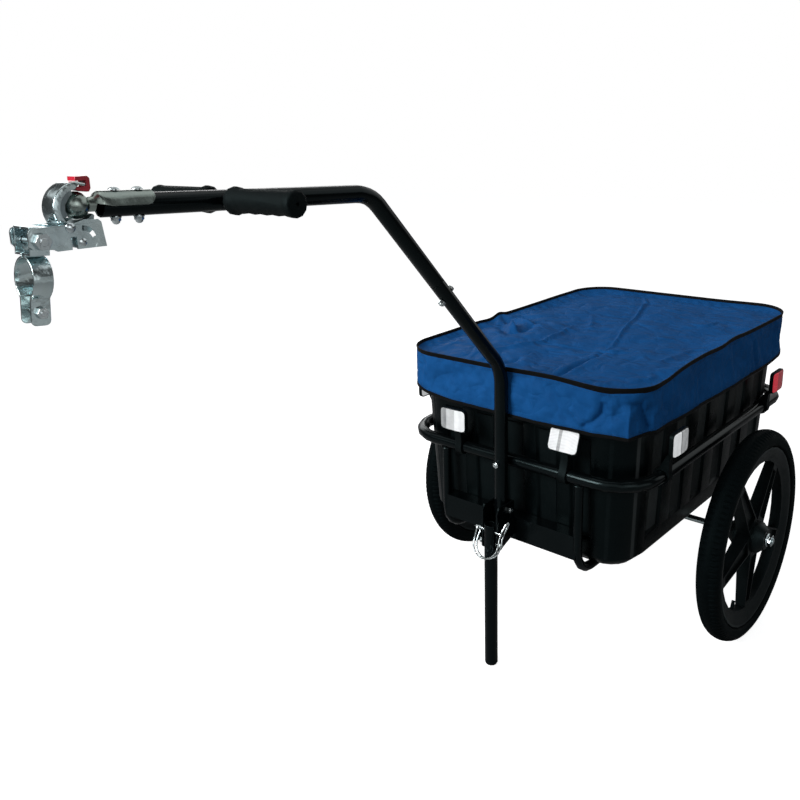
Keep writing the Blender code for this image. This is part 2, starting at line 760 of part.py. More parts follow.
def make_wheel(side, label):
    centre = Vector((side * TRACK_HALF, AXLE_Y, WHEEL_RADIUS))
    made = turned("wheel_" + label, rim_profile(), WHEEL_SIDES, centre, (1, 0, 0), BLACK_PLASTIC)
    join(made, make_spokes("spokes_" + label, centre))
    join(made, turned("hub_" + label, hub_profile(), HUB_SIDES, centre, (1, 0, 0)))
    for face in (1, -1):
        name = "pockets_%s_%s" % (label, "outer" if face == side else "inner")
        cut(made, as_cutter(make_pockets(name, centre, face)))
    bore = BUSH_RADIUS + GAP
    reach = Vector((HUB_HALF_LENGTH + 0.01, 0, 0))
    drill(made, "hub_bore_" + label, centre - reach, centre + reach, bore, 16)
    start, end = valve_line(side)
    drill(made, "valve_hole_" + label, start, end, VALVE_RADIUS + GAP, 10)
    return made


def tyre_profile():
    half = TYRE_HALF_WIDTH
    bead = RIM_HALF_WIDTH - RIM_FLANGE_THICKNESS - GAP
    top = WHEEL_RADIUS
    wall = TYRE_WALL
    outer = [(RIM_WELL_RADIUS + 0.008, bead), (RIM_FLANGE_RADIUS + 0.002, bead),
             (top - 0.017, half), (top - 0.0055, half * 0.80)]
    inner = [(RIM_WELL_RADIUS + 0.008, bead - wall), (top - 0.018, half - wall)]
    profile = outer + [(top, 0.0)] + [(r, -a) for r, a in reversed(outer)]
    profile += [(r, -a) for r, a in inner] + [(top - wall, 0.0)]
    return profile + list(reversed(inner))


def make_tyre(side, label):
    centre = (side * TRACK_HALF, AXLE_Y, WHEEL_RADIUS)
    return turned("tyre_" + label, tyre_profile(), WHEEL_SIDES, centre, (1, 0, 0), TYRE_RUBBER)


def valve_line(side):
    angle = math.radians(VALVE_ANGLE)
    out = Vector((0, math.cos(angle), math.sin(angle)))
    centre = Vector((side * TRACK_HALF, AXLE_Y, WHEEL_RADIUS))
    inner = RIM_INNER_RADIUS - VALVE_LENGTH
    return centre + out * inner, centre + out * (RIM_FLANGE_RADIUS + 0.004)


def make_inner_tube(side, label):
    centre = Vector((side * TRACK_HALF, AXLE_Y, WHEEL_RADIUS))
    middle = (RIM_FLANGE_RADIUS + WHEEL_RADIUS) / 2 - 0.004
    radius = TYRE_HALF_WIDTH - TYRE_WALL - 0.0070
    profile = arc((middle, 0.0), radius, 30, 330, 5)
    made = turned("inner_tube_" + label, profile, 24, centre, (1, 0, 0), TYRE_RUBBER)
    start, end = valve_line(side)
    return join(made, cylinder("valve_" + label, start, end, VALVE_RADIUS, 10))


def make_bush(side, label):
    half = HUB_HALF_LENGTH
    bore = AXLE_RADIUS + RUNNING_GAP
    profile = [(bore, -half), (BUSH_RADIUS, -half), (BUSH_RADIUS, half), (bore, half)]
    centre = (side * TRACK_HALF, AXLE_Y, WHEEL_RADIUS)
    return turned("hub_bush_" + label, profile, 16, centre, (1, 0, 0), DARK_ZINC)


def make_axle_nut(side, label):
    out = Vector((side, 0, 0))
    face = Vector((side * TRACK_HALF, AXLE_Y, WHEEL_RADIUS)) + out * (HUB_HALF_LENGTH + RUNNING_GAP)
    washer_top = face + out * WASHER_THICKNESS
    nut_top = washer_top + out * AXLE_NUT_HEIGHT
    made = cylinder("axle_nut_" + label, face, washer_top, WASHER_RADIUS, 16, STEEL)
    nut = cylinder("axle_nut_hex_" + label, washer_top - out * 0.001, nut_top,
                   AXLE_NUT_FLATS / math.sqrt(3), 6)
    join(made, nut)
    return smooth(drill(made, "axle_nut_bore_" + label, face - out * 0.01, nut_top + out * 0.01,
                        AXLE_RADIUS + GAP, 12))


# Tub and cover

def tub_half_sizes(z):
    inset = TUB_DRAFT * (TUB_TOP_Z - z)
    return TUB_HALF_WIDTH - inset, TUB_HALF_LENGTH - inset


def tub_ring(z, outset_x=0.0, outset_y=0.0):
    half_x, half_y = tub_half_sizes(z)
    radius = TUB_CORNER_RADIUS + min(outset_x, outset_y)
    outline = rounded_rectangle(half_x + outset_x, half_y + outset_y, radius, TUB_CORNER_STEPS)
    return [Vector((x, AXLE_Y + y, z)) for x, y in outline]


def add_face(work, points):
    work.faces.new([work.verts.new(point) for point in points])


def add_strip(work, low, high, skip_sides):
    """Quads between two levels; the four straight sides can be left open."""
    count = len(low)
    for index in range(count):
        if skip_sides and index % (TUB_CORNER_STEPS + 1) == TUB_CORNER_STEPS:
            continue
        after = (index + 1) % count
        add_face(work, (low[index], low[after], high[after], high[index]))


def add_panelled_side(work, levels, side):
    """One straight wall with sunk panels; levels are the rings at its four heights."""
    first = (side + 1) * (TUB_CORNER_STEPS + 1) - 1
    ends = [(ring[first], ring[(first + 1) % len(ring)]) for ring in levels]
    along = (ends[0][1] - ends[0][0]).normalized()
    inward = Vector((-along.y, along.x, 0.0))
    count, pitch, width = ((SIDE_PANELS, SIDE_PANEL_PITCH, SIDE_PANEL_WIDTH),
                           (END_PANELS, END_PANEL_PITCH, END_PANEL_WIDTH))[side % 2]
    middles = [(start + end) / 2 for start, end in ends]

    def at(level, shift, rise=0.0, sink=0.0):
        lean = (middles[2] - middles[1]) / (middles[2].z - middles[1].z)
        return middles[level] + lean * rise + along * shift + inward * sink

    spans = [((index - (count - 1) / 2) * pitch - width / 2,
              (index - (count - 1) / 2) * pitch + width / 2) for index in range(count)]
    edges = [edge for span in spans for edge in span]
    low = [at(1, edge) for edge in edges]
    high = [at(2, edge) for edge in edges]
    add_face(work, [ends[0][0], ends[0][1], ends[1][1]] + low[::-1] + [ends[1][0]])
    add_face(work, [ends[2][0]] + high + [ends[2][1], ends[3][1], ends[3][0]])
    low = [ends[1][0]] + low + [ends[1][1]]
    high = [ends[2][0]] + high + [ends[2][1]]
    for index in range(0, len(low), 2):
        add_face(work, (low[index], low[index + 1], high[index + 1], high[index]))
    for left, right in spans:
        rim = [at(1, left), at(1, right), at(2, right), at(2, left)]
        slope = PANEL_SLOPE
        floor = [at(1, left + slope, slope, PANEL_DEPTH), at(1, right - slope, slope, PANEL_DEPTH),
                 at(2, right - slope, -slope, PANEL_DEPTH), at(2, left + slope, -slope, PANEL_DEPTH)]
        add_face(work, floor)
        for corner in range(4):
            after = (corner + 1) % 4
            add_face(work, (rim[corner], rim[after], floor[after], floor[corner]))


def make_tub():
    """Open skin with sunk wall panels and a turned-down rim, then given its wall."""
    chamfer = TUB_BOTTOM_CHAMFER
    base = tub_ring(TUB_BOTTOM_Z, -chamfer, -chamfer)
    top = TUB_TOP_Z - TUB_WALL
    levels = [tub_ring(TUB_BOTTOM_Z + chamfer), tub_ring(PANEL_BOTTOM_Z), tub_ring(PANEL_TOP_Z),
              tub_ring(top)]
    flange = tub_ring(top, TUB_SIDE_FLANGE - TUB_WALL, TUB_END_FLANGE - TUB_WALL)
    lip = [point - Vector((0, 0, TUB_RIM_DROP)) for point in flange]
    work = bmesh.new()
    add_face(work, base[::-1])
    add_strip(work, base, levels[0], False)
    for low, high in zip(levels, levels[1:]):
        add_strip(work, low, high, True)
    for side in range(4):
        add_panelled_side(work, levels, side)
    add_strip(work, levels[3], flange, False)
    add_strip(work, flange, lip, False)
    bmesh.ops.remove_doubles(work, verts=work.verts, dist=1e-6)
    data = bpy.data.meshes.new("tub")
    work.to_mesh(data)
    work.free()
    made = place("tub", data, TUB_PLASTIC)
    shell = made.modifiers.new("wall", "SOLIDIFY")
    shell.thickness = TUB_WALL
    shell.offset = -1.0
    shell.use_even_offset = True
    return smooth(made, 30)


def cover_seam_z(y):
    """Height of the cover's top edge, which rises towards the rear."""
    share = (y - (AXLE_Y - TUB_HALF_LENGTH)) / (2 * TUB_HALF_LENGTH)
    lift = COVER_REAR_LIFT * min(max(share, 0.0), 1.0)
    return TUB_TOP_Z + GAP + COVER_THICKNESS + lift


def cover_outline():
    """Points round the cover's edge, with more on the straight sides for the folds."""
    outset = COVER_CLEARANCE + COVER_THICKNESS
    half_x = TUB_HALF_WIDTH + TUB_SIDE_FLANGE + outset
    half_y = TUB_HALF_LENGTH + TUB_END_FLANGE + outset
    corners = rounded_rectangle(half_x, half_y, TUB_CORNER_RADIUS + TUB_SIDE_FLANGE + outset, 5)
    points = []
    for index, corner in enumerate(corners):
        here = Vector(corner)
        after = Vector(corners[(index + 1) % len(corners)])
        points.append(here)
        if index % 6 == 5:
            pieces = 8 if index % 12 == 5 else 6
            points += [here.lerp(after, piece / pieces) for piece in range(1, pieces)]
    return points


def make_cover():
    """Cloth skin over the tub: crowned top, seam all round, and a skirt with hanging folds."""
    outline = cover_outline()
    count = len(outline)
    work = bmesh.new()
    rings = []
    for drop in (1.0, 0.68, 0.34, 0.0):
        ring = []
        for point in outline:
            turn = math.atan2(point.y, point.x)
            wave = 0.5 + 0.5 * math.sin(COVER_FOLDS_PER_TURN * turn + 1.7 * math.sin(3 * turn))
            x, y = point * (1 + COVER_FOLD * wave * drop / point.length)
            top = cover_seam_z(AXLE_Y + y)
            ring.append(work.verts.new((x, AXLE_Y + y, top - (top - COVER_HEM_Z) * drop)))
        rings.append(ring)
    for share in (0.84, 0.56, 0.28):
        ring = []
        for point in outline:
            x, y = point * share
            crown = COVER_CROWN * (1 - share ** 2)
            ring.append(work.verts.new((x, AXLE_Y + y, cover_seam_z(AXLE_Y + y) + crown)))
        rings.append(ring)
    for low, high in zip(rings, rings[1:]):
        for index in range(count):
            after = (index + 1) % count
            work.faces.new((low[index], low[after], high[after], high[index]))
    centre = work.verts.new((0, AXLE_Y, cover_seam_z(AXLE_Y) + COVER_CROWN))
    for index in range(count):
        work.faces.new((rings[-1][index], rings[-1][(index + 1) % count], centre))
    data = bpy.data.meshes.new("cover")
    work.to_mesh(data)
    work.free()
    made = place("cover", data, BLUE_FABRIC)
    shell = made.modifiers.new("thickness", "SOLIDIFY")
    shell.thickness = COVER_THICKNESS
    shell.offset = -1.0
    return smooth(made, 40)


# Drawbar and handle

def drawbar_corners():
    shoulder = Vector((0, DRAWBAR_SHOULDER_Y, DRAWBAR_SHOULDER_Z))
    front = Vector((0, DRAWBAR_FRONT_Y, tube_axis_z(DRAWBAR_FRONT_Y)))
    return (Vector((0, DRAWBAR_Y, DRAWBAR_FOOT_Z)), Vector((0, DRAWBAR_Y, DRAWBAR_KNEE_Z)),
            shoulder, front)


def tube_axis_z(y):
    return DRAWBAR_SHOULDER_Z + (DRAWBAR_SHOULDER_Y - y) * DRAWBAR_RISE


def slope_direction():
    foot, knee, shoulder, front = drawbar_corners()
    return (shoulder - knee).normalized()


def seam_point():
    return drawbar_corners()[1] + slope_direction() * JOINT_FROM_KNEE


def joint_bolt_line():
    centre = seam_point() - slope_direction() * JOINT_BOLT_FROM_SEAM
    across = slope_direction().cross(Vector((1, 0, 0)))
    return centre - across * DRAWBAR_RADIUS, centre + across * DRAWBAR_RADIUS


def make_drawbar_lower():
    foot, knee, shoulder, front = drawbar_corners()
    path = rounded_path([foot, knee, seam_point()], KNEE_BEND_RADIUS, 5)
    made = tube("drawbar_lower", path, DRAWBAR_RADIUS, 12, BLACK_PAINT, wall=DRAWBAR_WALL)
    start, end = joint_bolt_line()
    spare = (end - start) * 0.5
    drill(made, "joint_bolt_hole_lower", start - spare, end + spare, BOLT_RADIUS + GAP)
    start, end = ring_bolt_line()
    drill(made, "ring_bolt_hole_tube", start - Vector((0, 0.01, 0)), end, BOLT_RADIUS + GAP)
    return drill(made, "bracket_bolt_hole_tube", (-0.03, DRAWBAR_Y, BRACKET_BOLT_Z),
                 (0.03, DRAWBAR_Y, BRACKET_BOLT_Z), BOLT_RADIUS + GAP)


def make_drawbar_upper():
    foot, knee, shoulder, front = drawbar_corners()
    slope = slope_direction()
    seam = seam_point()
    path = [seam - slope * JOINT_INSERT]
    shrink = (DRAWBAR_RADIUS - DRAWBAR_WALL - GAP) / DRAWBAR_RADIUS
    path += [seam + slope * GAP, seam + slope * (GAP + JOINT_STEP)]
    factors = [shrink, shrink, 1.0]
    rest = rounded_path([seam, shoulder, front], SHOULDER_BEND_RADIUS, 5)[1:]
    made = tube("drawbar_upper", path + rest, DRAWBAR_RADIUS, 12, BLACK_PAINT,
                factors=factors + [1.0] * len(rest), wall=DRAWBAR_WALL)
    start, end = joint_bolt_line()
    drill(made, "joint_bolt_hole_upper", start, end, BOLT_RADIUS + GAP)
    for index, y in enumerate(BALL_BOLT_YS):
        top, bottom = ball_bolt_line(y)
        drill(made, "ball_bolt_hole_%d" % index, top, bottom + (bottom - top) * 0.3,
              BOLT_RADIUS + GAP)
    return made


def make_joint_bolt():
    start, end = joint_bolt_line()
    return bolt("drawbar_joint_bolt", end, start, BOLT_RADIUS, BOLT_FLATS, BOLT_HEAD, BOLT_NUT,
                STEEL)


def make_ring_bolt():
    front, rear = ring_bolt_line()
    return bolt("drawbar_ring_bolt", rear, front, BOLT_RADIUS, BOLT_FLATS, BOLT_HEAD, BOLT_NUT,
                STEEL)


def handle_centre():
    return Vector((0, HANDLE_Y, tube_axis_z(HANDLE_Y)))


def make_handle_stub(side, label):
    centre = handle_centre()
    out = Vector((side, 0, 0))
    end = GRIP_START + HANDLE_INSERT
    made = cylinder("handle_stub_" + label, centre, centre + out * end, HANDLE_RADIUS, 12,
                    BLACK_PAINT)
    along = TUBE_DIRECTION * 0.03
    seat = cylinder("handle_seat_" + label, centre - along, centre + along,
                    DRAWBAR_RADIUS + GAP, 24)
    return smooth(cut(made, as_cutter(seat)))


def grip_section(x, radius, wave, side, centre):
    points = []
    for step in range(12):
        angle = math.tau * step / 12
        under = max(0.0, -math.sin(angle))
        reach = radius - wave * under
        points.append(centre + Vector((side * x, reach * math.cos(angle),
                                       reach * math.sin(angle))))
    return points


def make_grip(side, label):
    centre = handle_centre()
    start = GRIP_START
    end = GRIP_END
    stations = [(start, GRIP_FLANGE_RADIUS * 0.86, 0.0), (start + 0.003, GRIP_FLANGE_RADIUS, 0.0),
                (start + 0.009, GRIP_FLANGE_RADIUS, 0.0), (start + 0.014, GRIP_RADIUS, 0.0)]
    span = (end - 0.012) - (start + 0.018)
    for step in range(2 * GRIP_FINGERS + 1):
        x = start + 0.018 + span * step / (2 * GRIP_FINGERS)
        stations.append((x, GRIP_RADIUS, GRIP_WAVE * (1 if step % 2 else 0)))
    stations += [(end - 0.009, GRIP_RADIUS + 0.0007, 0.0), (end - 0.002, GRIP_RADIUS + 0.0007, 0.0),
                 (end, GRIP_RADIUS - 0.0015, 0.0)]
    made = loft("grip_" + label, [grip_section(x, r, w, side, centre) for x, r, w in stations],
                GRIP_RUBBER)
    out = Vector((side, 0, 0))
    drill(made, "grip_bore_" + label, centre, centre + out * (start + HANDLE_INSERT + GAP),
          HANDLE_RADIUS + GAP, 12)
    drill(made, "grip_vent_" + label, centre + out * (end - 0.006), centre + out * (end + 0.01),
          0.0020, 8)
    return smooth(made, 40)


# Support leg

def make_bracket():
    rear = BRACKET_WEB_REAR_Y
    front = BRACKET_FRONT_Y
    pin_low = LOCK_PIN_Z - LOCK_PIN_RADIUS - GAP
    pin_high = LOCK_PIN_Z + LOCK_PIN_RADIUS + GAP
    seat = LOCK_PIN_RADIUS + GAP
    outline = [(rear, BRACKET_TOP_Z), (rear, 0.2470), (0.0150, 0.2350), (0.0080, BRACKET_BOTTOM_Z),
               (-0.0020, BRACKET_BOTTOM_Z), (front, 0.2340), (front, pin_low - 0.0022),
               (-seat * 0.4, pin_low - 0.0006), (seat * 0.6, pin_low), (seat, LOCK_PIN_Z - 0.001),
               (seat, LOCK_PIN_Z + 0.001), (seat * 0.6, pin_high), (front, pin_high),
               (front, 0.3020), (front + 0.006, BRACKET_TOP_Z)]
    made = prism("leg_bracket", [outline], "YZ", -BRACKET_OUTER_HALF, BRACKET_OUTER_HALF,
                 BLACK_PAINT)
    channel = box("leg_bracket_channel", (-BRACKET_INNER_HALF, front - 0.05, 0.20),
                  (BRACKET_INNER_HALF, BRACKET_WEB_FRONT_Y, 0.35))
    cut(made, as_cutter(channel))
    reach = BRACKET_OUTER_HALF + 0.01
    drill(made, "leg_pivot_hole", (-reach, 0, LEG_PIVOT_Z), (reach, 0, LEG_PIVOT_Z),
          BOLT_RADIUS + GAP)
    return drill(made, "bracket_bolt_hole", (-reach, DRAWBAR_Y, BRACKET_BOLT_Z),
                 (reach, DRAWBAR_Y, BRACKET_BOLT_Z), BOLT_RADIUS + GAP)


def cross_bolt(name, y, z, spec=STEEL):
    face = BRACKET_OUTER_HALF
    return bolt(name, (-face, y, z), (face, y, z), BOLT_RADIUS, BOLT_FLATS, BOLT_HEAD, BOLT_NUT,
                spec, CROSS_BOLT_TIP)


def make_leg():
    low = LEG_CAP_HEIGHT + GAP
    path = [Vector((0, 0, low)), Vector((0, 0, LEG_TOP_Z))]
    made = tube("support_leg", path, LEG_RADIUS, 12, BLACK_PAINT, wall=LEG_WALL)
    reach = LEG_RADIUS * 1.5
    for name, z, radius in (("leg_pivot_bore", LEG_PIVOT_Z, BOLT_RADIUS),
                            ("leg_pin_bore", LOCK_PIN_Z, LOCK_PIN_RADIUS)):
        drill(made, name, (-reach, 0, z), (reach, 0, z), radius + GAP)
    return made


def make_leg_cap():
    plug = LEG_RADIUS - LEG_WALL - GAP
    top = LEG_CAP_HEIGHT + LEG_PLUG_HEIGHT
    profile = [(0.0, top), (plug, top), (plug, LEG_CAP_HEIGHT), (LEG_RADIUS, LEG_CAP_HEIGHT),
               (LEG_RADIUS, 0.0040), (LEG_RADIUS * 0.86, 0.0010), (LEG_RADIUS * 0.68, 0.0),
               (0.0, 0.0)]
    return turned("leg_foot_cap", profile, 12, (0, 0, 0), (0, 0, 1), BLACK_PLASTIC, closed=False)


def make_lock_pin():
    start = Vector((LOCK_PIN_LEFT - 0.005, 0, LOCK_PIN_Z))
    end = Vector((LOCK_PIN_RIGHT, 0, LOCK_PIN_Z))
    made = cylinder("lock_pin", start, end, LOCK_PIN_RADIUS, 12, STEEL)
    eye = cylinder("lock_pin_head", start, start + Vector((0.010, 0, 0)), LOCK_PIN_HEAD, 12)
    join(made, eye)
    normal = bail_normal() * 0.01
    pivot = Vector((BAIL_LEFT_X, 0, LOCK_PIN_Z))
    return smooth(drill(made, "lock_pin_eye", pivot - normal, pivot + normal,
                        BAIL_WIRE_RADIUS + GAP, 8))


def bail_down():
    tilt = math.radians(BAIL_TILT)
    return Vector((0, -math.sin(tilt), -math.cos(tilt)))


def bail_normal():
    return Vector((1, 0, 0)).cross(bail_down())


def make_bail():
    """One wire: through the pin's eye, round the leg, over the pin's tip and back again."""
    down = bail_down()
    normal = bail_normal()
    spread = LOCK_PIN_RADIUS + BAIL_WIRE_RADIUS + GAP
    right = BAIL_RIGHT_X + 0.001
    half = (right - BAIL_LEFT_X) / 2
    middle = (right + BAIL_LEFT_X) / 2
    flat = [(BAIL_LEFT_X - 0.001, 0.018)]
    flat += [(middle - (half + 0.001) * math.cos(a), 0.024 + (BAIL_REACH - 0.024) * math.sin(a))
             for a in [math.pi * k / 8 for k in range(9)]]
    flat += [(right, 0.010), (right + 0.0010, -0.002),
             ((right + BAIL_TAB_X) / 2, -BAIL_TAB_RISE * 0.55), (BAIL_TAB_X, -BAIL_TAB_RISE)]
    origin = Vector((0, 0, LOCK_PIN_Z))

    def spot(x, along, across):
        return origin + Vector((x, 0, 0)) + down * along + normal * across

    wide = LOCK_PIN_HEAD + BAIL_WIRE_RADIUS + RUNNING_GAP
    path = [spot(BAIL_LEFT_X, 0.0, 0.0), spot(BAIL_LEFT_X, 0.0, wide),
            spot(BAIL_LEFT_X, 0.008, wide)]
    path += [spot(x, along, spread) for x, along in flat[:-1]]
    tip_x, tip_along = flat[-1]
    path += [spot(tip_x - 0.002, tip_along + 0.004, spread * 0.9),
             spot(tip_x, tip_along, spread * 0.35), spot(tip_x, tip_along, -spread * 0.35),
             spot(tip_x - 0.002, tip_along + 0.004, -spread * 0.9)]
    path += [spot(x, along, -spread) for x, along in reversed(flat[:-1])]
    path += [spot(BAIL_LEFT_X, 0.008, -wide), spot(BAIL_LEFT_X, 0.0, -wide)]
    path += [spot(BAIL_LEFT_X, 0.0, -GAP * 3)]
    return tube("lock_pin_bail", path, BAIL_WIRE_RADIUS, 6, STEEL)


# Reflectors

def reflector_frame(place_on_ring, turn, lean):
    upright = Matrix.Translation(place_on_ring) @ Matrix.Rotation(math.radians(turn), 4, "Z")
    return upright @ Matrix.Rotation(-math.radians(lean), 4, "X")


def make_reflector(name, place_on_ring, turn, spec, lean=0.0, rise=0.0):
    """Built facing -Y with the ring tube along X, then turned about the vertical."""
    frame = reflector_frame(place_on_ring, turn, lean)
    middle = REFLECTOR_UP + rise
    outline = rounded_rectangle(REFLECTOR_WIDTH / 2, REFLECTOR_HEIGHT / 2, REFLECTOR_CORNER, 2)
    outline = [(x, z + middle) for x, z in outline]
    back = -(REFLECTOR_OUT - REFLECTOR_THICKNESS / 2)
    front = back - REFLECTOR_THICKNESS
    lens = prism(name, [outline], "XZ", front, back, spec)
    lens.matrix_world = frame @ lens.matrix_world
    third = REFLECTOR_WIDTH / 6
    edge = REFLECTOR_WIDTH / 2 + 0.001
    for side, label in ((1, "a"), (-1, "b")):
        facet = [(side * third, front), (side * edge, front + REFLECTOR_FACET),
                 (side * edge, front - 0.002), (side * third, front - 0.002)]
        slice_off = prism(name + "_facet_" + label, [facet], "XY",
                          middle - REFLECTOR_HEIGHT, middle + REFLECTOR_HEIGHT)
        slice_off.matrix_world = frame @ slice_off.matrix_world
        cut(lens, as_cutter(slice_off))

    inner = RING_TUBE_RADIUS + GAP
    outer = inner + REFLECTOR_BAND
    pad = back + GAP
    outline = arc((0, 0), outer, 75, -210, 10)
    low = middle - REFLECTOR_HEIGHT / 2
    high = middle + REFLECTOR_HEIGHT * 0.35
    thick = REFLECTOR_BAND
    outline += [(-0.0140, low - 0.0120), (pad, low), (pad, high), (pad + thick, high),
                (pad + thick, low + 0.0030), (-0.0075, low - 0.0080)]
    hole = arc((0, 0), inner, lean, 330 + lean, 11)
    bracket = prism(name + "_bracket", [outline, hole], "YZ", -REFLECTOR_BRACKET_WIDTH / 2,
                    REFLECTOR_BRACKET_WIDTH / 2, BLACK_PLASTIC)
    bracket.matrix_world = frame @ bracket.matrix_world
    return lens


def make_reflectors():
    front = AXLE_Y - RING_HALF_LENGTH
    make_reflector("reflector_front_left", (FRONT_REFLECTOR_LEFT_X, front, RING_Z), 0, WHITE_LENS,
                   lean=FRONT_LEFT_LEAN)
    make_reflector("reflector_front_right", (FRONT_REFLECTOR_RIGHT_X, front, RING_Z), 0,
                   WHITE_LENS)
    for side, label in ((1, "left"), (-1, "right")):
        x = side * RING_HALF_WIDTH
        make_reflector("reflector_side_" + label, (x, AXLE_Y + SIDE_REFLECTOR_FRONT, RING_Z),
                       side * 90, WHITE_LENS, rise=SIDE_REFLECTOR_RISE)
        make_reflector("reflector_rear_" + label, (x, AXLE_Y + SIDE_REFLECTOR_REAR, RING_Z),
                       side * 90, RED_LENS)


# Ball and ball plate

def ball_centre():
    return Vector((0, BALL_Y, tube_axis_z(BALL_Y) + BALL_ABOVE_TUBE))


def ball_bolt_line(y):
    centre = Vector((0, y, tube_axis_z(y)))
    up = TUBE_DIRECTION.cross(Vector((1, 0, 0))).normalized()
    if up.z < 0:
        up = -up
    top = centre + up * (DRAWBAR_RADIUS + BALL_PLATE_GAP + BALL_PLATE_THICKNESS)
    return top, centre - up * DRAWBAR_RADIUS


def saddle_section(y, half_angle, outer, inner, lift):
    centre_z = tube_axis_z(y) + lift
    half = math.radians(half_angle)
    points = []
    for step in range(10):
        angle = -half + 2 * half * step / 9
        points.append(Vector((outer * math.sin(angle), y, centre_z + outer * math.cos(angle))))
    for step in range(10):
        angle = half - 2 * half * step / 9
        points.append(Vector((inner * math.sin(angle), y, centre_z + inner * math.cos(angle))))
    return points


def neck_section(y, radius, lift):
    centre_z = tube_axis_z(y) + lift
    points = []
    for step in range(20):
        angle = math.radians(-99 + 18 * step)
        points.append(Vector((radius * math.sin(angle), y, centre_z + radius * math.cos(angle))))
    return points


def make_ball_plate():
    inner = DRAWBAR_RADIUS + BALL_PLATE_GAP
    outer = inner + BALL_PLATE_THICKNESS
    rear = BALL_PLATE_REAR_Y
    front = BALL_PLATE_FRONT_Y
    tube_end = DRAWBAR_FRONT_Y
    full = BALL_PLATE_HALF_ANGLE
    sections = [saddle_section(rear, full * 0.62, outer, inner, 0.0),
                saddle_section(rear - 0.0022, full * 0.80, outer, inner, 0.0),
                saddle_section(rear - 0.0055, full * 0.94, outer, inner, 0.0),
                saddle_section(rear - 0.0100, full, outer, inner, 0.0),
                saddle_section(front, full, outer, inner, 0.0),
                saddle_section(tube_end - 0.0006, full * 0.92, outer, inner, 0.0),
                saddle_section(tube_end - 0.0034, full * 0.96, outer * 0.80, inner * 0.60, 0.0012),
                neck_section(tube_end - 0.0062, NECK_RADIUS * 1.08, 0.0020),
                neck_section(BALL_Y + BALL_RADIUS * 0.6, NECK_RADIUS, BALL_ABOVE_TUBE)]
    made = loft("hitch_ball_plate", sections, ZINC)
    join(made, sphere("hitch_ball_shape", ball_centre(), BALL_RADIUS, 11))
    for index, y in enumerate(BALL_BOLT_YS):
        top, bottom = ball_bolt_line(y)
        drill(made, "plate_bolt_hole_%d" % index, top + (top - bottom) * 0.3, bottom,
              BOLT_RADIUS + GAP)
    return smooth(made, 40)


def make_ball_bolts():
    for index, y in enumerate(BALL_BOLT_YS):
        top, bottom = ball_bolt_line(y)
        name = "ball_plate_bolt_" + ("front" if index == 0 else "rear")
        bolt(name, top, bottom, BOLT_RADIUS, BOLT_FLATS, BOLT_HEAD, BOLT_NUT, STEEL)


# Coupler

def cup_section(angle, flange_inner):
    web_inner = CUP_OUTER_RADIUS - CUP_WEB
    half = CUP_HALF_WIDTH
    thin = half - CUP_WEB
    flat = [(-half, flange_inner), (-half, CUP_OUTER_RADIUS - 0.0012),
            (-half + 0.0012, CUP_OUTER_RADIUS), (half - 0.0012, CUP_OUTER_RADIUS),
            (half, CUP_OUTER_RADIUS - 0.0012), (half, flange_inner), (thin, flange_inner),
            (thin, web_inner), (-thin, web_inner), (-thin, flange_inner)]
    out = Vector((0, math.cos(angle), math.sin(angle)))
    centre = Vector((0, *CUP_CENTRE))
    return [centre + Vector((x, 0, 0)) + out * radius for x, radius in flat]


def make_cup():
    flange_inner = CUP_OUTER_RADIUS - CUP_FLANGE_DEPTH
    short = CUP_OUTER_RADIUS - CUP_WEB - 0.0006
    stations = [(CUP_START_ANGLE, short), (CUP_FLANGE_ANGLE - 12, short),
                (CUP_FLANGE_ANGLE, flange_inner)]
    steps = 13
    for step in range(1, steps + 1):
        angle = CUP_FLANGE_ANGLE + (CUP_END_ANGLE - CUP_FLANGE_ANGLE) * step / steps
        stations.append((angle, flange_inner))
    made = loft("coupler_cup", [cup_section(math.radians(a), r) for a, r in stations], ZINC)
    y, z = cup_rivet_place()
    return smooth(drill(made, "cup_rivet_hole", (-0.03, y, z), (0.03, y, z), 0.0020 + GAP))


def cup_rivet_place():
    angle = math.radians(CUP_RIVET_ANGLE)
    return (CUP_CENTRE[0] + CUP_RIVET_FROM_CENTRE * math.cos(angle),
            CUP_CENTRE[1] + CUP_RIVET_FROM_CENTRE * math.sin(angle))


def make_socket():
    """The bearing block inside the cup; its face is a hollow that fits the ball."""
    outer = CUP_OUTER_RADIUS - CUP_WEB - GAP
    outline = arc(CUP_CENTRE, outer, 100, 214, 10)
    outline += arc(CUP_CENTRE, 0.0115, 214, 100, 4)
    half = SOCKET_HALF_WIDTH
    made = prism("coupler_socket", [outline], "YZ", -half, half, DARK_ZINC)
    hollow = sphere("socket_hollow", ball_centre(), BALL_RADIUS + RUNNING_GAP, 8)
    return cut(made, as_cutter(hollow))


def jaw_slot_outline():
    half = JAW_PIN_RADIUS + RUNNING_GAP
    spare = math.degrees(half / JAW_SLOT_RADIUS) + 1.0
    start = JAW_SLOT_START - JAW_TRAVEL - spare
    end = JAW_SLOT_START + spare
    outline = arc(JAW_PIVOT, JAW_SLOT_RADIUS + half, start, end, 5)
    outline += arc(JAW_PIVOT, JAW_SLOT_RADIUS - half, end, start, 4)
    return outline


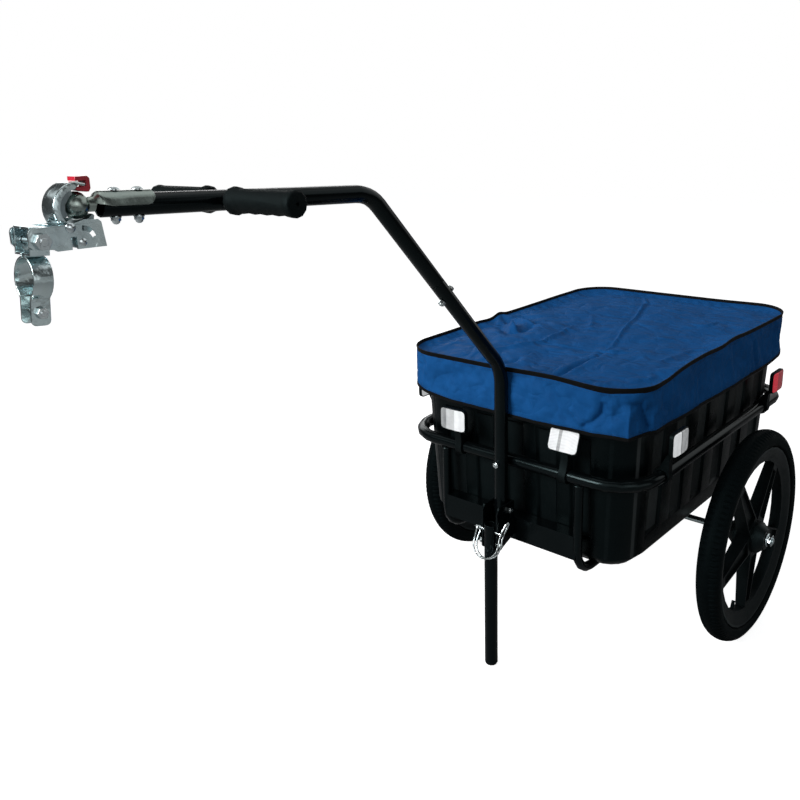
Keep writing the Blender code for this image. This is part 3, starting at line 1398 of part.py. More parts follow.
def arm_outline():
    front = ARM_FRONT_Y
    rear = ARM_REAR_Y
    low = ARM_BOTTOM_Z
    top = ARM_TOP_Z
    notch = JAW_PIVOT[0] - 0.0110
    return [(front, top - 0.005), (front, low + 0.008), (front + 0.0035, low + 0.0040),
            (front + 0.0230, low + 0.0020), (front + 0.0265, low), (notch, low),
            (notch, low + 0.012), (notch + 0.0055, low + 0.012), (notch + 0.0055, low),
            (rear + 0.0030, low - 0.0003), (rear, top), (rear - 0.0030, top + 0.0026),
            (JAW_PIVOT[0] + 0.0040, top + 0.0035), (JAW_PIVOT[0] - 0.0100, top),
            (front + 0.0050, top), (front + 0.0015, top - 0.0015)]


def arm_cheek(name, side, spec=None):
    low = side * ARM_INNER_HALF
    high = side * ARM_OUTER_HALF
    return prism(name, [arm_outline(), jaw_slot_outline()], "YZ", min(low, high), max(low, high),
                 spec)


def make_arm():
    made = arm_cheek("coupler_arm", 1, ZINC)
    join(made, arm_cheek("coupler_arm_cheek", -1))
    inside = ARM_INNER_HALF + ARM_PLATE / 2
    front = CLAMP_Y + 0.0172
    web = box("coupler_arm_web", (-inside, front, ARM_TOP_Z - 0.0030),
              (inside, front + ARM_WEB_LENGTH, ARM_TOP_Z - 0.0002))
    join(made, web)
    reach = ARM_OUTER_HALF + 0.01
    y, z = cup_rivet_place()
    for name, spot, radius in (("arm_hinge_hole", (CLAMP_Y, CLAMP_HINGE_Z), HINGE_BOLT_RADIUS),
                               ("arm_rivet_hole", (y, z), 0.0020),
                               ("arm_jaw_hole", JAW_PIVOT, JAW_RIVET_RADIUS)):
        drill(made, name, (-reach, *spot), (reach, *spot), radius + GAP)
    return made


def make_rivet(name, spot, radius, head_radius, head):
    face = ARM_OUTER_HALF + GAP
    profile = [(0.0, -face - head), (head_radius * 0.55, -face - head * 0.9),
               (head_radius * 0.9, -face - head * 0.4), (head_radius, -face),
               (radius, -face), (radius, face), (head_radius, face),
               (head_radius * 0.9, face + head * 0.4), (head_radius * 0.55, face + head * 0.9),
               (0.0, face + head)]
    return turned(name, profile, 12, (0, *spot), (1, 0, 0), STEEL, closed=False)


def make_jaw():
    """The part that closes under and behind the ball; its cross pin rides in the arm's slots."""
    ball = ball_centre()
    ball_2d = (ball.y, ball.z)
    pivot_y, pivot_z = JAW_PIVOT
    outline = arc(ball_2d, BALL_RADIUS + RUNNING_GAP, -97, -38, 7)
    outline += [(pivot_y + 0.0195, pivot_z + 0.0235), (pivot_y + 0.0165, pivot_z + 0.0100)]
    outline += arc(JAW_PIVOT, 0.0065, 20, -180, 7)
    outline += [(pivot_y - 0.0050, pivot_z + 0.0100), (pivot_y + 0.0015, pivot_z + 0.0180)]
    made = prism("coupler_jaw", [outline], "YZ", -JAW_HALF_WIDTH, JAW_HALF_WIDTH, DARK_ZINC)
    angle = math.radians(JAW_SLOT_START)
    pin_y = pivot_y + JAW_SLOT_RADIUS * math.cos(angle)
    pin_z = pivot_z + JAW_SLOT_RADIUS * math.sin(angle)
    reach = ARM_OUTER_HALF + 0.0012
    join(made, cylinder("jaw_cross_pin", (-reach, pin_y, pin_z), (reach, pin_y, pin_z),
                        JAW_PIN_RADIUS, 10))
    return drill(made, "jaw_bore", (-0.03, *JAW_PIVOT), (0.03, *JAW_PIVOT),
                 JAW_RIVET_RADIUS + GAP)


def make_clip():
    """Red plastic clip folded over the open end of the cup."""
    centre_y, centre_z = CUP_CENTRE
    top = centre_z + CUP_OUTER_RADIUS + GAP
    web_low = centre_z + (CUP_OUTER_RADIUS - CUP_WEB) * math.sin(math.radians(CUP_START_ANGLE))
    low = web_low - GAP - 0.0006
    rear = centre_y + CUP_OUTER_RADIUS * math.cos(math.radians(CUP_START_ANGLE)) + GAP
    front = rear - CLIP_REACH
    inner = rear + CLIP_BEHIND
    outer = inner + CLIP_THICKNESS
    outline = [(front, top), (inner, top), (inner, low), (front, low),
               (front, low - CLIP_TIP_THICKNESS), (inner - 0.0010, low - CLIP_THICKNESS * 1.3),
               (inner + 0.0022, low - CLIP_THICKNESS * 1.3), (outer, low - 0.0024),
               (outer, top + 0.0020), (inner + 0.0020, top + CLIP_THICKNESS),
               (front, top + CLIP_THICKNESS)]
    return prism("safety_clip", [outline], "YZ", -CLIP_HALF_WIDTH, CLIP_HALF_WIDTH, RED_PLASTIC)


# Seat-post clamp

def clamp_line():
    """Mid-line of one clamp half in the XZ plane, from the lower tab up round to the box."""
    half = CLAMP_STRIP / 2
    ring = (0.0, CLAMP_RING_Z)
    start = -math.degrees(math.acos(CLAMP_TAB_X / CLAMP_RING_RADIUS))
    end = math.degrees(math.acos((half + CLAMP_NECK_GAP) / CLAMP_RING_RADIUS))
    tab_top = CLAMP_RING_Z + CLAMP_RING_RADIUS * math.sin(math.radians(start))
    line = [(CLAMP_TAB_X, CLAMP_TAB_BOTTOM_Z), (CLAMP_TAB_X, tab_top - 0.0015)]
    line += arc(ring, CLAMP_RING_RADIUS, start + 4, end, 13)
    box_low = CLAMP_HINGE_Z - 0.0122
    box_high = CLAMP_HINGE_Z + 0.0122
    line += [(half + CLAMP_NECK_GAP + 0.0010, box_low), (CLAMP_BOX_HALF, box_low),
             (CLAMP_BOX_HALF, box_high), (0.0006, box_high)]
    return line


def clamp_frame():
    """The clamp hangs from its hinge bolt, leaning a little towards the bicycle."""
    hinge = Vector((0, CLAMP_Y, CLAMP_HINGE_Z))
    lean = Matrix.Rotation(-math.radians(CLAMP_LEAN), 4, "X")
    return Matrix.Translation(hinge) @ lean @ Matrix.Translation(-hinge)


def make_clamp_half(side, label):
    frame = clamp_frame()
    line = [(side * x, z) for x, z in clamp_line()]
    made = strip("clamp_half_" + label, line, CLAMP_Y, CLAMP_STRIP_WIDTH, CLAMP_STRIP, ZINC)
    made.matrix_world = frame
    for name, z, radius in (("hinge", CLAMP_HINGE_Z, HINGE_BOLT_RADIUS),
                            ("pinch", CLAMP_PINCH_Z, BOLT_RADIUS)):
        drill(made, "clamp_%s_hole_%s" % (name, label),
              frame @ Vector((0.0005 * side, CLAMP_Y, z)), frame @ Vector((0.03 * side, CLAMP_Y, z)),
              (radius + GAP) / math.cos(math.pi / 8))
    for end, name in ((1, "rear"), (-1, "front")):
        edge = CLAMP_Y + end * CLAMP_STRIP_WIDTH / 2
        round_y = edge - end * CLAMP_TAB_CORNER
        round_z = CLAMP_TAB_BOTTOM_Z + CLAMP_TAB_CORNER
        outline = [(round_y + end * y, z) for y, z in
                   arc((0.0, round_z), CLAMP_TAB_CORNER, 0, -90, 4)]
        outline += [(round_y, CLAMP_TAB_BOTTOM_Z - 0.002),
                    (edge + end * 0.002, CLAMP_TAB_BOTTOM_Z - 0.002), (edge + end * 0.002, round_z)]
        low, high = sorted((side * (CLAMP_TAB_X - 0.004), side * (CLAMP_TAB_X + 0.004)))
        corner = prism("clamp_corner_%s_%s" % (name, label), [outline], "YZ", low, high)
        corner.matrix_world = frame @ corner.matrix_world
        cut(made, as_cutter(corner))
    return smooth(made)


def make_clamp_bolts():
    face = ARM_OUTER_HALF
    bolt("clamp_hinge_bolt", (-face, CLAMP_Y, CLAMP_HINGE_Z), (face, CLAMP_Y, CLAMP_HINGE_Z),
         HINGE_BOLT_RADIUS, HINGE_BOLT_FLATS, BOLT_HEAD + 0.001, BOLT_NUT + 0.001, STEEL)
    face = CLAMP_TAB_X + CLAMP_STRIP / 2
    frame = clamp_frame()
    bolt("clamp_pinch_bolt", frame @ Vector((-face, CLAMP_Y, CLAMP_PINCH_Z)),
         frame @ Vector((face, CLAMP_Y, CLAMP_PINCH_Z)),
         BOLT_RADIUS, BOLT_FLATS, BOLT_HEAD, BOLT_NUT, STEEL)


# Assembly

def add_pivot(name, spot, members, carrier=None):
    """An empty on a joint's axis that carries the pieces moving about it."""
    pivot = bpy.data.objects.new(name, None)
    pivot.empty_display_size = 0.03
    pivot.location = spot
    parts.objects.link(pivot)
    bpy.context.view_layer.update()
    for member in members:
        piece = bpy.data.objects[member]
        piece.parent = pivot
        piece.matrix_parent_inverse = pivot.matrix_world.inverted()
    if carrier is not None:
        pivot.parent = carrier
        pivot.matrix_parent_inverse = carrier.matrix_world.inverted()
    return pivot


def add_pivots():
    for side, label in ((1, "left"), (-1, "right")):
        add_pivot("wheel_axis_" + label, (side * TRACK_HALF, AXLE_Y, WHEEL_RADIUS),
                  [piece + label for piece in ("wheel_", "tyre_", "inner_tube_", "hub_bush_")])
    leg = add_pivot("leg_axis", (0, 0, LEG_PIVOT_Z), ["support_leg", "leg_foot_cap"])
    add_pivot("lock_pin_axis", (0, 0, LOCK_PIN_Z), ["lock_pin", "lock_pin_bail"], leg)
    coupler = add_pivot("coupler_axis", ball_centre(),
                        ["coupler_arm", "coupler_cup", "coupler_socket", "cup_rivet",
                         "jaw_rivet", "safety_clip", "clamp_hinge_bolt"])
    add_pivot("jaw_axis", (0, *JAW_PIVOT), ["coupler_jaw"], coupler)
    add_pivot("clamp_axis", (0, CLAMP_Y, CLAMP_HINGE_Z),
              ["clamp_half_left", "clamp_half_right", "clamp_pinch_bolt"], coupler)
    add_pivot("cover_seat", (0, AXLE_Y, TUB_TOP_Z), ["cover"])


def build():
    global parts, cutters
    clear_scene()
    parts = make_collection("bike_cargo_trailer")
    cutters = make_collection("cutters")

    make_ring_frame()
    make_front_crossbar()
    make_bracket()
    make_axle()
    make_tub()
    make_cover()
    for side, label in ((1, "left"), (-1, "right")):
        make_hoop(side, label)
        make_axle_saddle(side, label)
        make_wheel(side, label)
        make_tyre(side, label)
        make_inner_tube(side, label)
        make_bush(side, label)
        make_axle_nut(side, label)
        make_handle_stub(side, label)
        make_grip(side, label)
        make_clamp_half(side, label)
    make_drawbar_lower()
    make_drawbar_upper()
    make_joint_bolt()
    make_ring_bolt()
    cross_bolt("bracket_bolt", DRAWBAR_Y, BRACKET_BOLT_Z)
    cross_bolt("leg_pivot_bolt", 0.0, LEG_PIVOT_Z)
    make_leg()
    make_leg_cap()
    make_lock_pin()
    make_bail()
    make_reflectors()
    make_ball_plate()
    make_ball_bolts()
    make_cup()
    make_socket()
    make_arm()
    make_rivet("cup_rivet", cup_rivet_place(), 0.0020, 0.0052, 0.0030)
    make_rivet("jaw_rivet", JAW_PIVOT, JAW_RIVET_RADIUS, 0.0042, 0.0015)
    make_jaw()
    make_clip()
    make_clamp_bolts()
    add_pivots()


build()
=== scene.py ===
import math

import bmesh
import bpy
import numpy as np
from mathutils import Matrix, Vector, noise


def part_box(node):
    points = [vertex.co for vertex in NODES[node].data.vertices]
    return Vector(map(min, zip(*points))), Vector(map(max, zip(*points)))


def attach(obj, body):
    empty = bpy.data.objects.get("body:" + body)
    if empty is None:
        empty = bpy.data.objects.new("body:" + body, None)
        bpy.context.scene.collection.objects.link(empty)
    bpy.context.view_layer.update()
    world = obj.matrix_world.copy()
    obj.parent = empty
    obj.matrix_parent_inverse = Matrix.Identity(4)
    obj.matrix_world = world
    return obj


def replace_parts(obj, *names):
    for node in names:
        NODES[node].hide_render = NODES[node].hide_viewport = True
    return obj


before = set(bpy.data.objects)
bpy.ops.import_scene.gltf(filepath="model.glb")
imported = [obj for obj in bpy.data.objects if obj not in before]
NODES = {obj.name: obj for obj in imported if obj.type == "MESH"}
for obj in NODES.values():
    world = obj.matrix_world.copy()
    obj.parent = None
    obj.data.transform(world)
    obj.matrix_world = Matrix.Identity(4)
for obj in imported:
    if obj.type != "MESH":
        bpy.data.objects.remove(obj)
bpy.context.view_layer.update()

# Lengths of the solids that the looks follow, in metres
AXLE_Y, WHEEL_RADIUS, TRACK_HALF = 0.39, 0.2, 0.3066
RING_HALF_WIDTH, RING_Z, RING_TUBE = 0.2403, 0.3834, 0.011
TUB_TOP_Z, TUB_HALF_WIDTH, TUB_HALF_LENGTH, TUB_DRAFT = 0.54, 0.229, 0.3265, 0.043

UP = Vector((0, 0, 1))
SIDES = ((1, "left"), (-1, "right"))
QUADRANTS = ((1, 1, 0), (-1, 1, 90), (-1, -1, 180), (1, -1, 270))


def new_object(name, data):
    made = bpy.data.objects.new(name, data)
    bpy.context.scene.collection.objects.link(made)
    return made


def given(node, **values):
    """Sets a node's inputs by their names, with _ for a space, and gives the node."""
    for key, value in values.items():
        node.inputs[key.replace("_", " ")].default_value = value
    return node


# Camera, stage and light

SEEN = "Is Camera Ray", "Is Transmission Ray"
CAMERA_SPOT = Vector((0.7916, -1.0631, 0.9442))
CAMERA_YAW, CAMERA_PITCH, CAMERA_ROLL = 0.7373, 0.2646, -0.0289
FOCAL_PX, CENTRE_PX, PHOTO, SENSOR = 830.455, (412.146, 355.403), 800.0, 36.0
SKY_LIGHT, SKY_GLOSS = 0.2, 0.3
SKY_BLUE, PLAIN_WHITE = (0.9, 0.95, 1.0), (1.0, 1.0, 1.0)
# What the metal mirrors: patches of a noise between two values, between two strengths of light
PATCH_SCALE, PATCH_RANGE = 1.7, (0.45, 0.57, SKY_GLOSS * 0.15, SKY_GLOSS * 2.6)
FLOOR_REACH, FLOOR_DROP = 9.0, 0.0004
FLOOR_WHITE, FLOOR_GLOW, FLOOR_BOUNCE = 0.62, 0.88, 0.3


def make_camera():
    forward = Vector((-math.sin(CAMERA_YAW) * math.cos(CAMERA_PITCH),
                      math.cos(CAMERA_YAW) * math.cos(CAMERA_PITCH), -math.sin(CAMERA_PITCH)))
    right = forward.cross(UP).normalized()
    up = right.cross(forward)
    c, s = math.cos(CAMERA_ROLL), math.sin(CAMERA_ROLL)
    right, up = right * c + up * s, up * c - right * s
    lens = bpy.data.cameras.new("camera")
    lens.sensor_width = SENSOR
    lens.lens = FOCAL_PX * SENSOR / PHOTO
    lens.shift_x = -(CENTRE_PX[0] - PHOTO / 2) / PHOTO
    lens.shift_y = (CENTRE_PX[1] - PHOTO / 2) / PHOTO
    lens.clip_start = 0.01
    camera = new_object("camera", lens)
    turn = Matrix((right, up, -forward)).transposed().to_4x4()
    camera.matrix_world = Matrix.Translation(CAMERA_SPOT) @ turn
    bpy.context.scene.camera = camera


def area_light(name, spot, target, size, power, mirrored=True):
    lamp = bpy.data.lights.new(name, "AREA")
    lamp.shape = "RECTANGLE"
    lamp.size, lamp.size_y = size
    lamp.energy = power
    made = new_object(name, lamp)
    made.location = spot
    made.visible_glossy = mirrored
    made.rotation_euler = (Vector(target) - Vector(spot)).to_track_quat("-Z", "Y").to_euler()


def ray_share(tree, *rays):
    """1 for the named kinds of ray, 0 for the rest."""
    path = tree.nodes.new("ShaderNodeLightPath")
    share = path.outputs[rays[0]]
    for ray in rays[1:]:
        either = tree.nodes.new("ShaderNodeMath")
        either.operation = "MAXIMUM"
        tree.links.new(share, either.inputs[0])
        tree.links.new(path.outputs[ray], either.inputs[1])
        share = either.outputs[0]
    return share


def mixed(tree, share, first, second):
    """The first shader where the share is 0, the second where it is 1."""
    made = tree.nodes.new("ShaderNodeMixShader")
    for index, source in enumerate((share, first, second)):
        tree.links.new(source, made.inputs[index])
    return made.outputs[0]


def make_world():
    """White to the camera, a dim sky that lights, and patches of light for mirrored rays."""
    world = bpy.data.worlds.new("studio")
    bpy.context.scene.world = world
    world.use_nodes = True
    tree = world.node_tree
    tree.nodes.clear()
    parts = []
    for colour, strength in ((SKY_BLUE, SKY_LIGHT), (PLAIN_WHITE, SKY_GLOSS), (PLAIN_WHITE, 1.0)):
        parts.append(given(tree.nodes.new("ShaderNodeBackground"), Color=(*colour, 1),
                           Strength=strength))
    sky, mirrored, white = parts
    direction = tree.nodes.new("ShaderNodeTexCoord")
    patches = given(tree.nodes.new("ShaderNodeTexNoise"), Scale=PATCH_SCALE, Detail=1.0)
    bright = tree.nodes.new("ShaderNodeMapRange")
    for index, value in enumerate(PATCH_RANGE, 1):
        bright.inputs[index].default_value = value
    tree.links.new(direction.outputs["Generated"], patches.inputs["Vector"])
    tree.links.new(patches.outputs["Fac"], bright.inputs["Value"])
    tree.links.new(bright.outputs["Result"], mirrored.inputs["Strength"])
    lit = mixed(tree, ray_share(tree, "Is Glossy Ray"), sky.outputs[0], mirrored.outputs[0])
    seen = mixed(tree, ray_share(tree, *SEEN), lit, white.outputs[0])
    tree.links.new(seen, tree.nodes.new("ShaderNodeOutputWorld").inputs[0])


def diffuse(tree, shade):
    made = given(tree.nodes.new("ShaderNodeBsdfDiffuse"), Color=(shade, shade, shade, 1))
    return made.outputs[0]


def make_floor():
    """White to the camera apart from the object's own shadow; other rays see a duller board."""
    data = bpy.data.meshes.new("floor")
    data.from_pydata([(a * FLOOR_REACH, b * FLOOR_REACH, 0)
                      for a, b in ((-1, -1), (1, -1), (1, 1), (-1, 1))], [], [(0, 1, 2, 3)])
    floor = new_object("floor", data)
    floor.location.z = -FLOOR_DROP
    made = bpy.data.materials.new("floor")
    made.use_nodes = True
    tree = made.node_tree
    tree.nodes.clear()
    glow = given(tree.nodes.new("ShaderNodeEmission"), Strength=FLOOR_GLOW)
    add = tree.nodes.new("ShaderNodeAddShader")
    tree.links.new(diffuse(tree, FLOOR_WHITE), add.inputs[0])
    tree.links.new(glow.outputs[0], add.inputs[1])
    seen = mixed(tree, ray_share(tree, *SEEN), diffuse(tree, FLOOR_BOUNCE), add.outputs[0])
    tree.links.new(seen, tree.nodes.new("ShaderNodeOutputMaterial").inputs[0])
    data.materials.append(made)


# Materials

COOL = (0.66, 1.0, 1.04, 1.0)
COOL_BLOOM, WARM_BLOOM = (0.86, 0.96, 1.04), (1.06, 0.98, 0.86)
NOISE_ROUGHNESS = 0.55
# Radii from the axle: where a painted highlight turns the wheel's lip pale, the tyre's line of
# painted shade where it meets the rim, where tread starts
LIP_HIGHLIGHT_RADII, BEAD_SHADE_RADII, TREAD_RADII = (0.1655, 0.1664), (0.17, 0.1728), (0.183, 0.19)
PANEL_DEPTHS = (0.0048, 0.0078)
# Lens prisms: cell size and spread, and the blur between bands of painted light
PRISM_SCALE, PRISM_SPREAD, LIT_BAND_BLUR = 620, 0.12, 0.0004
WEAVE_LEAN = 0.31
EDGE_WEAR, EDGE_ANGLE, SEAM_WELD = 0.0004, 50.0, 0.000002


class Finish:
    """A procedural material whose pattern lies in the object's own coordinates, in metres."""

    def __init__(self, name, colour, roughness, metallic=0.0, **sockets):
        self.material = bpy.data.materials.new(name)
        self.material.use_nodes = True
        self.tree = self.material.node_tree
        self.shader = given(self.tree.nodes["Principled BSDF"], Base_Color=(*colour, 1),
                            Roughness=roughness, Metallic=metallic, **sockets)
        self.coordinates = self.tree.nodes.new("ShaderNodeTexCoord").outputs["Object"]
        self.normal = None

    def node(self, kind, **values):
        return given(self.tree.nodes.new(kind), **values)

    def link(self, source, target):
        self.tree.links.new(source, target)

    def math(self, operation, first, second=0.0):
        """A math node's result; each value is a number or a socket."""
        made = self.node("ShaderNodeMath")
        made.operation = operation
        for index, value in enumerate((first, second)):
            if isinstance(value, (int, float)):
                made.inputs[index].default_value = value
            else:
                self.link(value, made.inputs[index])
        return made.outputs[0]

    def noise(self, scale, detail, stretch=None, distortion=0.0):
        made = self.node("ShaderNodeTexNoise", Scale=scale, Detail=detail,
                         Roughness=NOISE_ROUGHNESS, Distortion=distortion)
        source = self.coordinates
        if stretch:
            mapping = self.node("ShaderNodeMapping", Scale=stretch)
            self.link(source, mapping.inputs["Vector"])
            source = mapping.outputs[0]
        self.link(source, made.inputs["Vector"])
        return made.outputs["Fac"]

    def span(self, value, low, high, source_low=0.3, source_high=0.7):
        """Takes a value's range on to another; the usual source is the middle of a noise."""
        made = self.node("ShaderNodeMapRange")
        self.link(value, made.inputs["Value"])
        for index, number in enumerate((source_low, source_high, low, high), 1):
            made.inputs[index].default_value = number
        return made.outputs["Result"]

    def within(self, value, low, high):
        """1 where a value lies between two others, 0 elsewhere."""
        return self.math("MULTIPLY", self.math("GREATER_THAN", value, low),
                         self.math("LESS_THAN", value, high))

    def blend(self, share, first, second):
        """A colour between two; each is a colour or a socket."""
        made = self.node("ShaderNodeMix")
        made.data_type = "RGBA"
        self.link(share, made.inputs[0])
        for socket, value in ((6, first), (7, second)):
            if isinstance(value, (tuple, list)):
                made.inputs[socket].default_value = (*value, 1)
            else:
                self.link(value, made.inputs[socket])
        return made.outputs[2]

    def mottle(self, cloud, first, second):
        """Two colours in the patches of a noise."""
        return self.blend(self.span(cloud, 0, 1), first, second)

    def colour(self, value):
        self.link(value, self.shader.inputs["Base Color"])

    def roughness(self, value):
        self.link(value, self.shader.inputs["Roughness"])

    def bump(self, value, distance):
        made = self.node("ShaderNodeBump", Strength=1.0, Distance=distance)
        self.link(value, made.inputs["Height"])
        if self.normal is not None:
            self.link(self.normal, made.inputs["Normal"])
        self.normal = made.outputs[0]
        self.link(self.normal, self.shader.inputs["Normal"])

    def position(self):
        made = self.node("ShaderNodeSeparateXYZ")
        self.link(self.coordinates, made.inputs[0])
        return made.outputs

    def from_axle(self):
        """Distance from the line that both wheels turn about."""
        _, y, z = self.position()
        squares = [self.math("POWER", self.math("SUBTRACT", value, centre), 2.0)
                   for value, centre in ((y, AXLE_Y), (z, WHEEL_RADIUS))]
        return self.math("POWER", self.math("ADD", *squares), 0.5)


def black(name, shade, roughness, gloss, broad, grain, depth, rough=None, shades=None,
          **sockets):
    """A black finish with a fine grain; its roughness and its shades, where given, follow the
    patches of a broad noise. Gives that noise too."""
    finish = Finish(name, shade, roughness, Specular_IOR_Level=gloss, Specular_Tint=COOL,
                    **sockets)
    finish.bump(finish.noise(*grain), depth)
    cloud = finish.noise(*broad)
    if rough:
        finish.roughness(finish.span(cloud, *rough))
    if shades:
        finish.colour(finish.mottle(cloud, *shades))
    return finish, cloud


def painted_black():
    finish, _ = black("powder_coat", (0.0014, 0.002, 0.0023), 0.24, 0.13, (14, 4), (900, 2),
                      0.00003, (0.16, 0.26), ((0.0008, 0.0014, 0.0017), (0.0018, 0.0026, 0.003)),
                      Coat_Weight=0.05, Coat_Roughness=0.1)
    finish.bump(finish.noise(160, 3), 0.00006)
    return finish.material


def wheel_plastic():
    """The moulded wheel: satin black, with a painted highlight that turns its lip pale beside the
    tyre.
    """
    finish, cloud = black("wheel_plastic", (0.003, 0.003, 0.0035), 0.46, 0.18, (26, 4),
                          (1300, 2), 0.00007, (0.38, 0.52))
    # Painted highlight: beyond these radii the lip takes the paler shades below
    lip_highlight = finish.span(finish.from_axle(), 0.0, 1.0, *LIP_HIGHLIGHT_RADII)
    spokes = finish.mottle(cloud, (0.001, 0.0017, 0.002), (0.0024, 0.0033, 0.0037))
    # Paler colours for the lip, painted as a highlight
    rim = finish.mottle(cloud, (0.012, 0.0165, 0.0172), (0.02, 0.0255, 0.0262))
    finish.colour(finish.blend(lip_highlight, spokes, rim))
    return finish.material


def tub_plastic():
    """Black walls; the sunk panels, found by their depth, are duller, and on the long sides paler
    with a painted sheen.
    """
    finish, cloud = black("tub_plastic", (0.001, 0.0016, 0.0019), 0.4, 0.12, (18, 4),
                          (1100, 3), 0.00014)
    x, y, z = finish.position()
    inset = finish.math("MULTIPLY", finish.math("SUBTRACT", TUB_TOP_Z, z), TUB_DRAFT)
    depths = []
    for value, half in ((x, TUB_HALF_WIDTH),
                        (finish.math("SUBTRACT", y, AXLE_Y), TUB_HALF_LENGTH)):
        wall = finish.math("SUBTRACT", half, inset)
        depths.append(finish.math("SUBTRACT", wall, finish.math("ABSOLUTE", value)))
    depth = finish.math("MINIMUM", *depths)
    sunk = finish.within(depth, *PANEL_DEPTHS)
    # On the long sides the sunk panels are painted paler, a painted sheen for light glancing off
    # them; the end panels stay dark
    beside = finish.math("LESS_THAN", *depths)
    wall = finish.mottle(cloud, (0.0003, 0.0008, 0.001), (0.0008, 0.0016, 0.0019))
    side_panel_sheen = finish.mottle(cloud, (0.023, 0.0262, 0.0268), (0.035, 0.0388, 0.0395))
    end_panel = finish.mottle(cloud, (0.0006, 0.0013, 0.0016), (0.0018, 0.0028, 0.0032))
    finish.colour(finish.blend(sunk, wall, finish.blend(beside, end_panel, side_panel_sheen)))
    finish.roughness(finish.math("ADD", finish.span(cloud, 0.26, 0.36),
                                 finish.math("MULTIPLY", sunk, 0.26)))
    finish.bump(finish.noise(45, 3), 0.0006)
    return finish.material


def tyre_rubber():
    """Black rubber: a black line of painted shade where it meets the rim, a paler side wall and a
    darker tread.
    """
    finish, cloud = black("tyre_rubber", (0.002, 0.0026, 0.003), 0.72, 0.05, (30, 5),
                          (1400, 3), 0.00012, (0.6, 0.8))
    out = finish.from_axle()
    wall = finish.mottle(cloud, (0.0018, 0.003, 0.0034), (0.004, 0.0058, 0.0062))
    tread = finish.mottle(cloud, (0.0005, 0.0011, 0.0014), (0.0014, 0.0024, 0.0028))
    # Painted shade: a near-black line where the tyre meets the rim
    line = finish.within(out, *BEAD_SHADE_RADII)
    both = finish.blend(finish.span(out, 0.0, 1.0, *TREAD_RADII), wall, tread)
    finish.colour(finish.blend(line, both, (0.0002, 0.0003, 0.0004)))
    return finish.material


def zinc(name, pale, dull, low, high, ripple=1.0):
    """Plated steel with the faint blue and yellow bloom of its plating and fine drawn lines."""
    finish = Finish(name, pale, low, 1.0)
    cloud, fine = finish.noise(26, 5, distortion=0.6), finish.noise(420, 4, stretch=(1, 1, 0.15))
    base = finish.mottle(cloud, pale, dull)
    cool, warm = ([share * value for share, value in zip(bloom, pale)]
                  for bloom in (COOL_BLOOM, WARM_BLOOM))
    bloom = finish.mottle(finish.noise(11, 2), cool, warm)
    finish.colour(finish.blend(finish.span(fine, 0.12, 0.42), base, bloom))
    finish.roughness(finish.span(cloud, low, high))
    finish.bump(fine, 0.00002)
    finish.bump(finish.noise(110, 2), ripple * 0.0005)
    finish.bump(finish.noise(34, 1), ripple * 0.0028)
    return finish.material


def red_plastic():
    finish = Finish("red_plastic", (0.6, 0.012, 0.03), 0.32, Coat_Weight=0.3, Coat_Roughness=0.2)
    finish.colour(finish.mottle(finish.noise(60, 3), (0.38, 0.006, 0.02), (0.52, 0.014, 0.034)))
    finish.bump(finish.noise(900, 2), 0.00005)
    return finish.material


def lens(name, dark, bright, axis, share, *lit_bands, back=0.2):
    """Moulded prisms behind a clear face: a fine lozenge grid, each cell with painted light at its
    middle, painted shade towards its edge and a little uneven tone.

    Along the axis the painted light of the prisms is as bright as share says, and from each
    (place, share) that follows on, as bright as its own share says: bands of painted light and
    shade for how much light each part throws back. back is the strength of a painted glow, an
    emission in the lens's own colour that stands for the light thrown back."""
    finish = Finish(name, bright, 0.16, Coat_Weight=0.6, Coat_Roughness=0.08, IOR=1.49)
    cells = finish.node("ShaderNodeTexVoronoi", Scale=PRISM_SCALE, Randomness=PRISM_SPREAD)
    cells.feature = "F1"
    finish.link(finish.coordinates, cells.inputs["Vector"])
    distance = cells.outputs["Distance"]
    shade = finish.math("ADD", finish.span(distance, 0.0, 0.45, 0.1, 0.8),
                        finish.span(finish.noise(70, 2), 0.0, 0.25))
    place = finish.position()["XYZ".index(axis)]
    total = share
    for start, value in lit_bands:
        step = finish.span(place, 0.0, value - share, start - LIT_BAND_BLUR, start + LIT_BAND_BLUR)
        total, share = finish.math("ADD", total, step), value
    shade = finish.math("ADD", finish.math("MULTIPLY", shade, 0.5),
                        finish.math("SUBTRACT", 1.0, total))
    # The painted light and shade of the prisms makes the lens colour, and is also given out as a
    # painted glow
    seen = finish.blend(shade, bright, dark)
    finish.colour(seen)
    finish.link(seen, finish.shader.inputs["Emission Color"])
    finish.shader.inputs["Emission Strength"].default_value = back
    finish.roughness(finish.span(distance, 0.12, 0.36, 0, 1))
    finish.bump(distance, 0.0003)
    return finish.material


def woven(name, dark, bright, sheen, threads, crumple=0.05):
    """Plain weave of a coated cloth: two crossed sets of threads, uneven shades and creases."""
    finish = Finish(name, bright, 0.62, Sheen_Weight=sheen, Sheen_Roughness=0.45,
                    Specular_IOR_Level=0.025)
    x, y, z = finish.position()
    across = finish.math("ADD", x, finish.math("MULTIPLY", z, WEAVE_LEAN))
    along = finish.math("ADD", y, z)
    weave = finish.math("MAXIMUM", *[
        finish.math("ABSOLUTE", finish.math("SINE", finish.math("MULTIPLY", value, threads)))
        for value in (across, along)])
    broad, middle = finish.noise(7, 4), finish.noise(60, 5)
    shade = finish.math("ADD", finish.span(broad, 0.0, 0.55), finish.span(middle, 0.0, 0.45))
    finish.colour(finish.blend(shade, dark, bright))
    finish.roughness(finish.span(middle, 0.52, 0.72))
    finish.bump(weave, 0.00012)
    finish.bump(middle, 0.0005)
    for scale, depth in ((16, 0.0042), (34, 0.0016)):
        ridge = finish.math("SUBTRACT", finish.noise(scale, 1, distortion=0.5), 0.5)
        ridge = finish.math("MULTIPLY", finish.math("ABSOLUTE", ridge), 2.0)
        finish.bump(ridge, depth * crumple)
    return finish.material


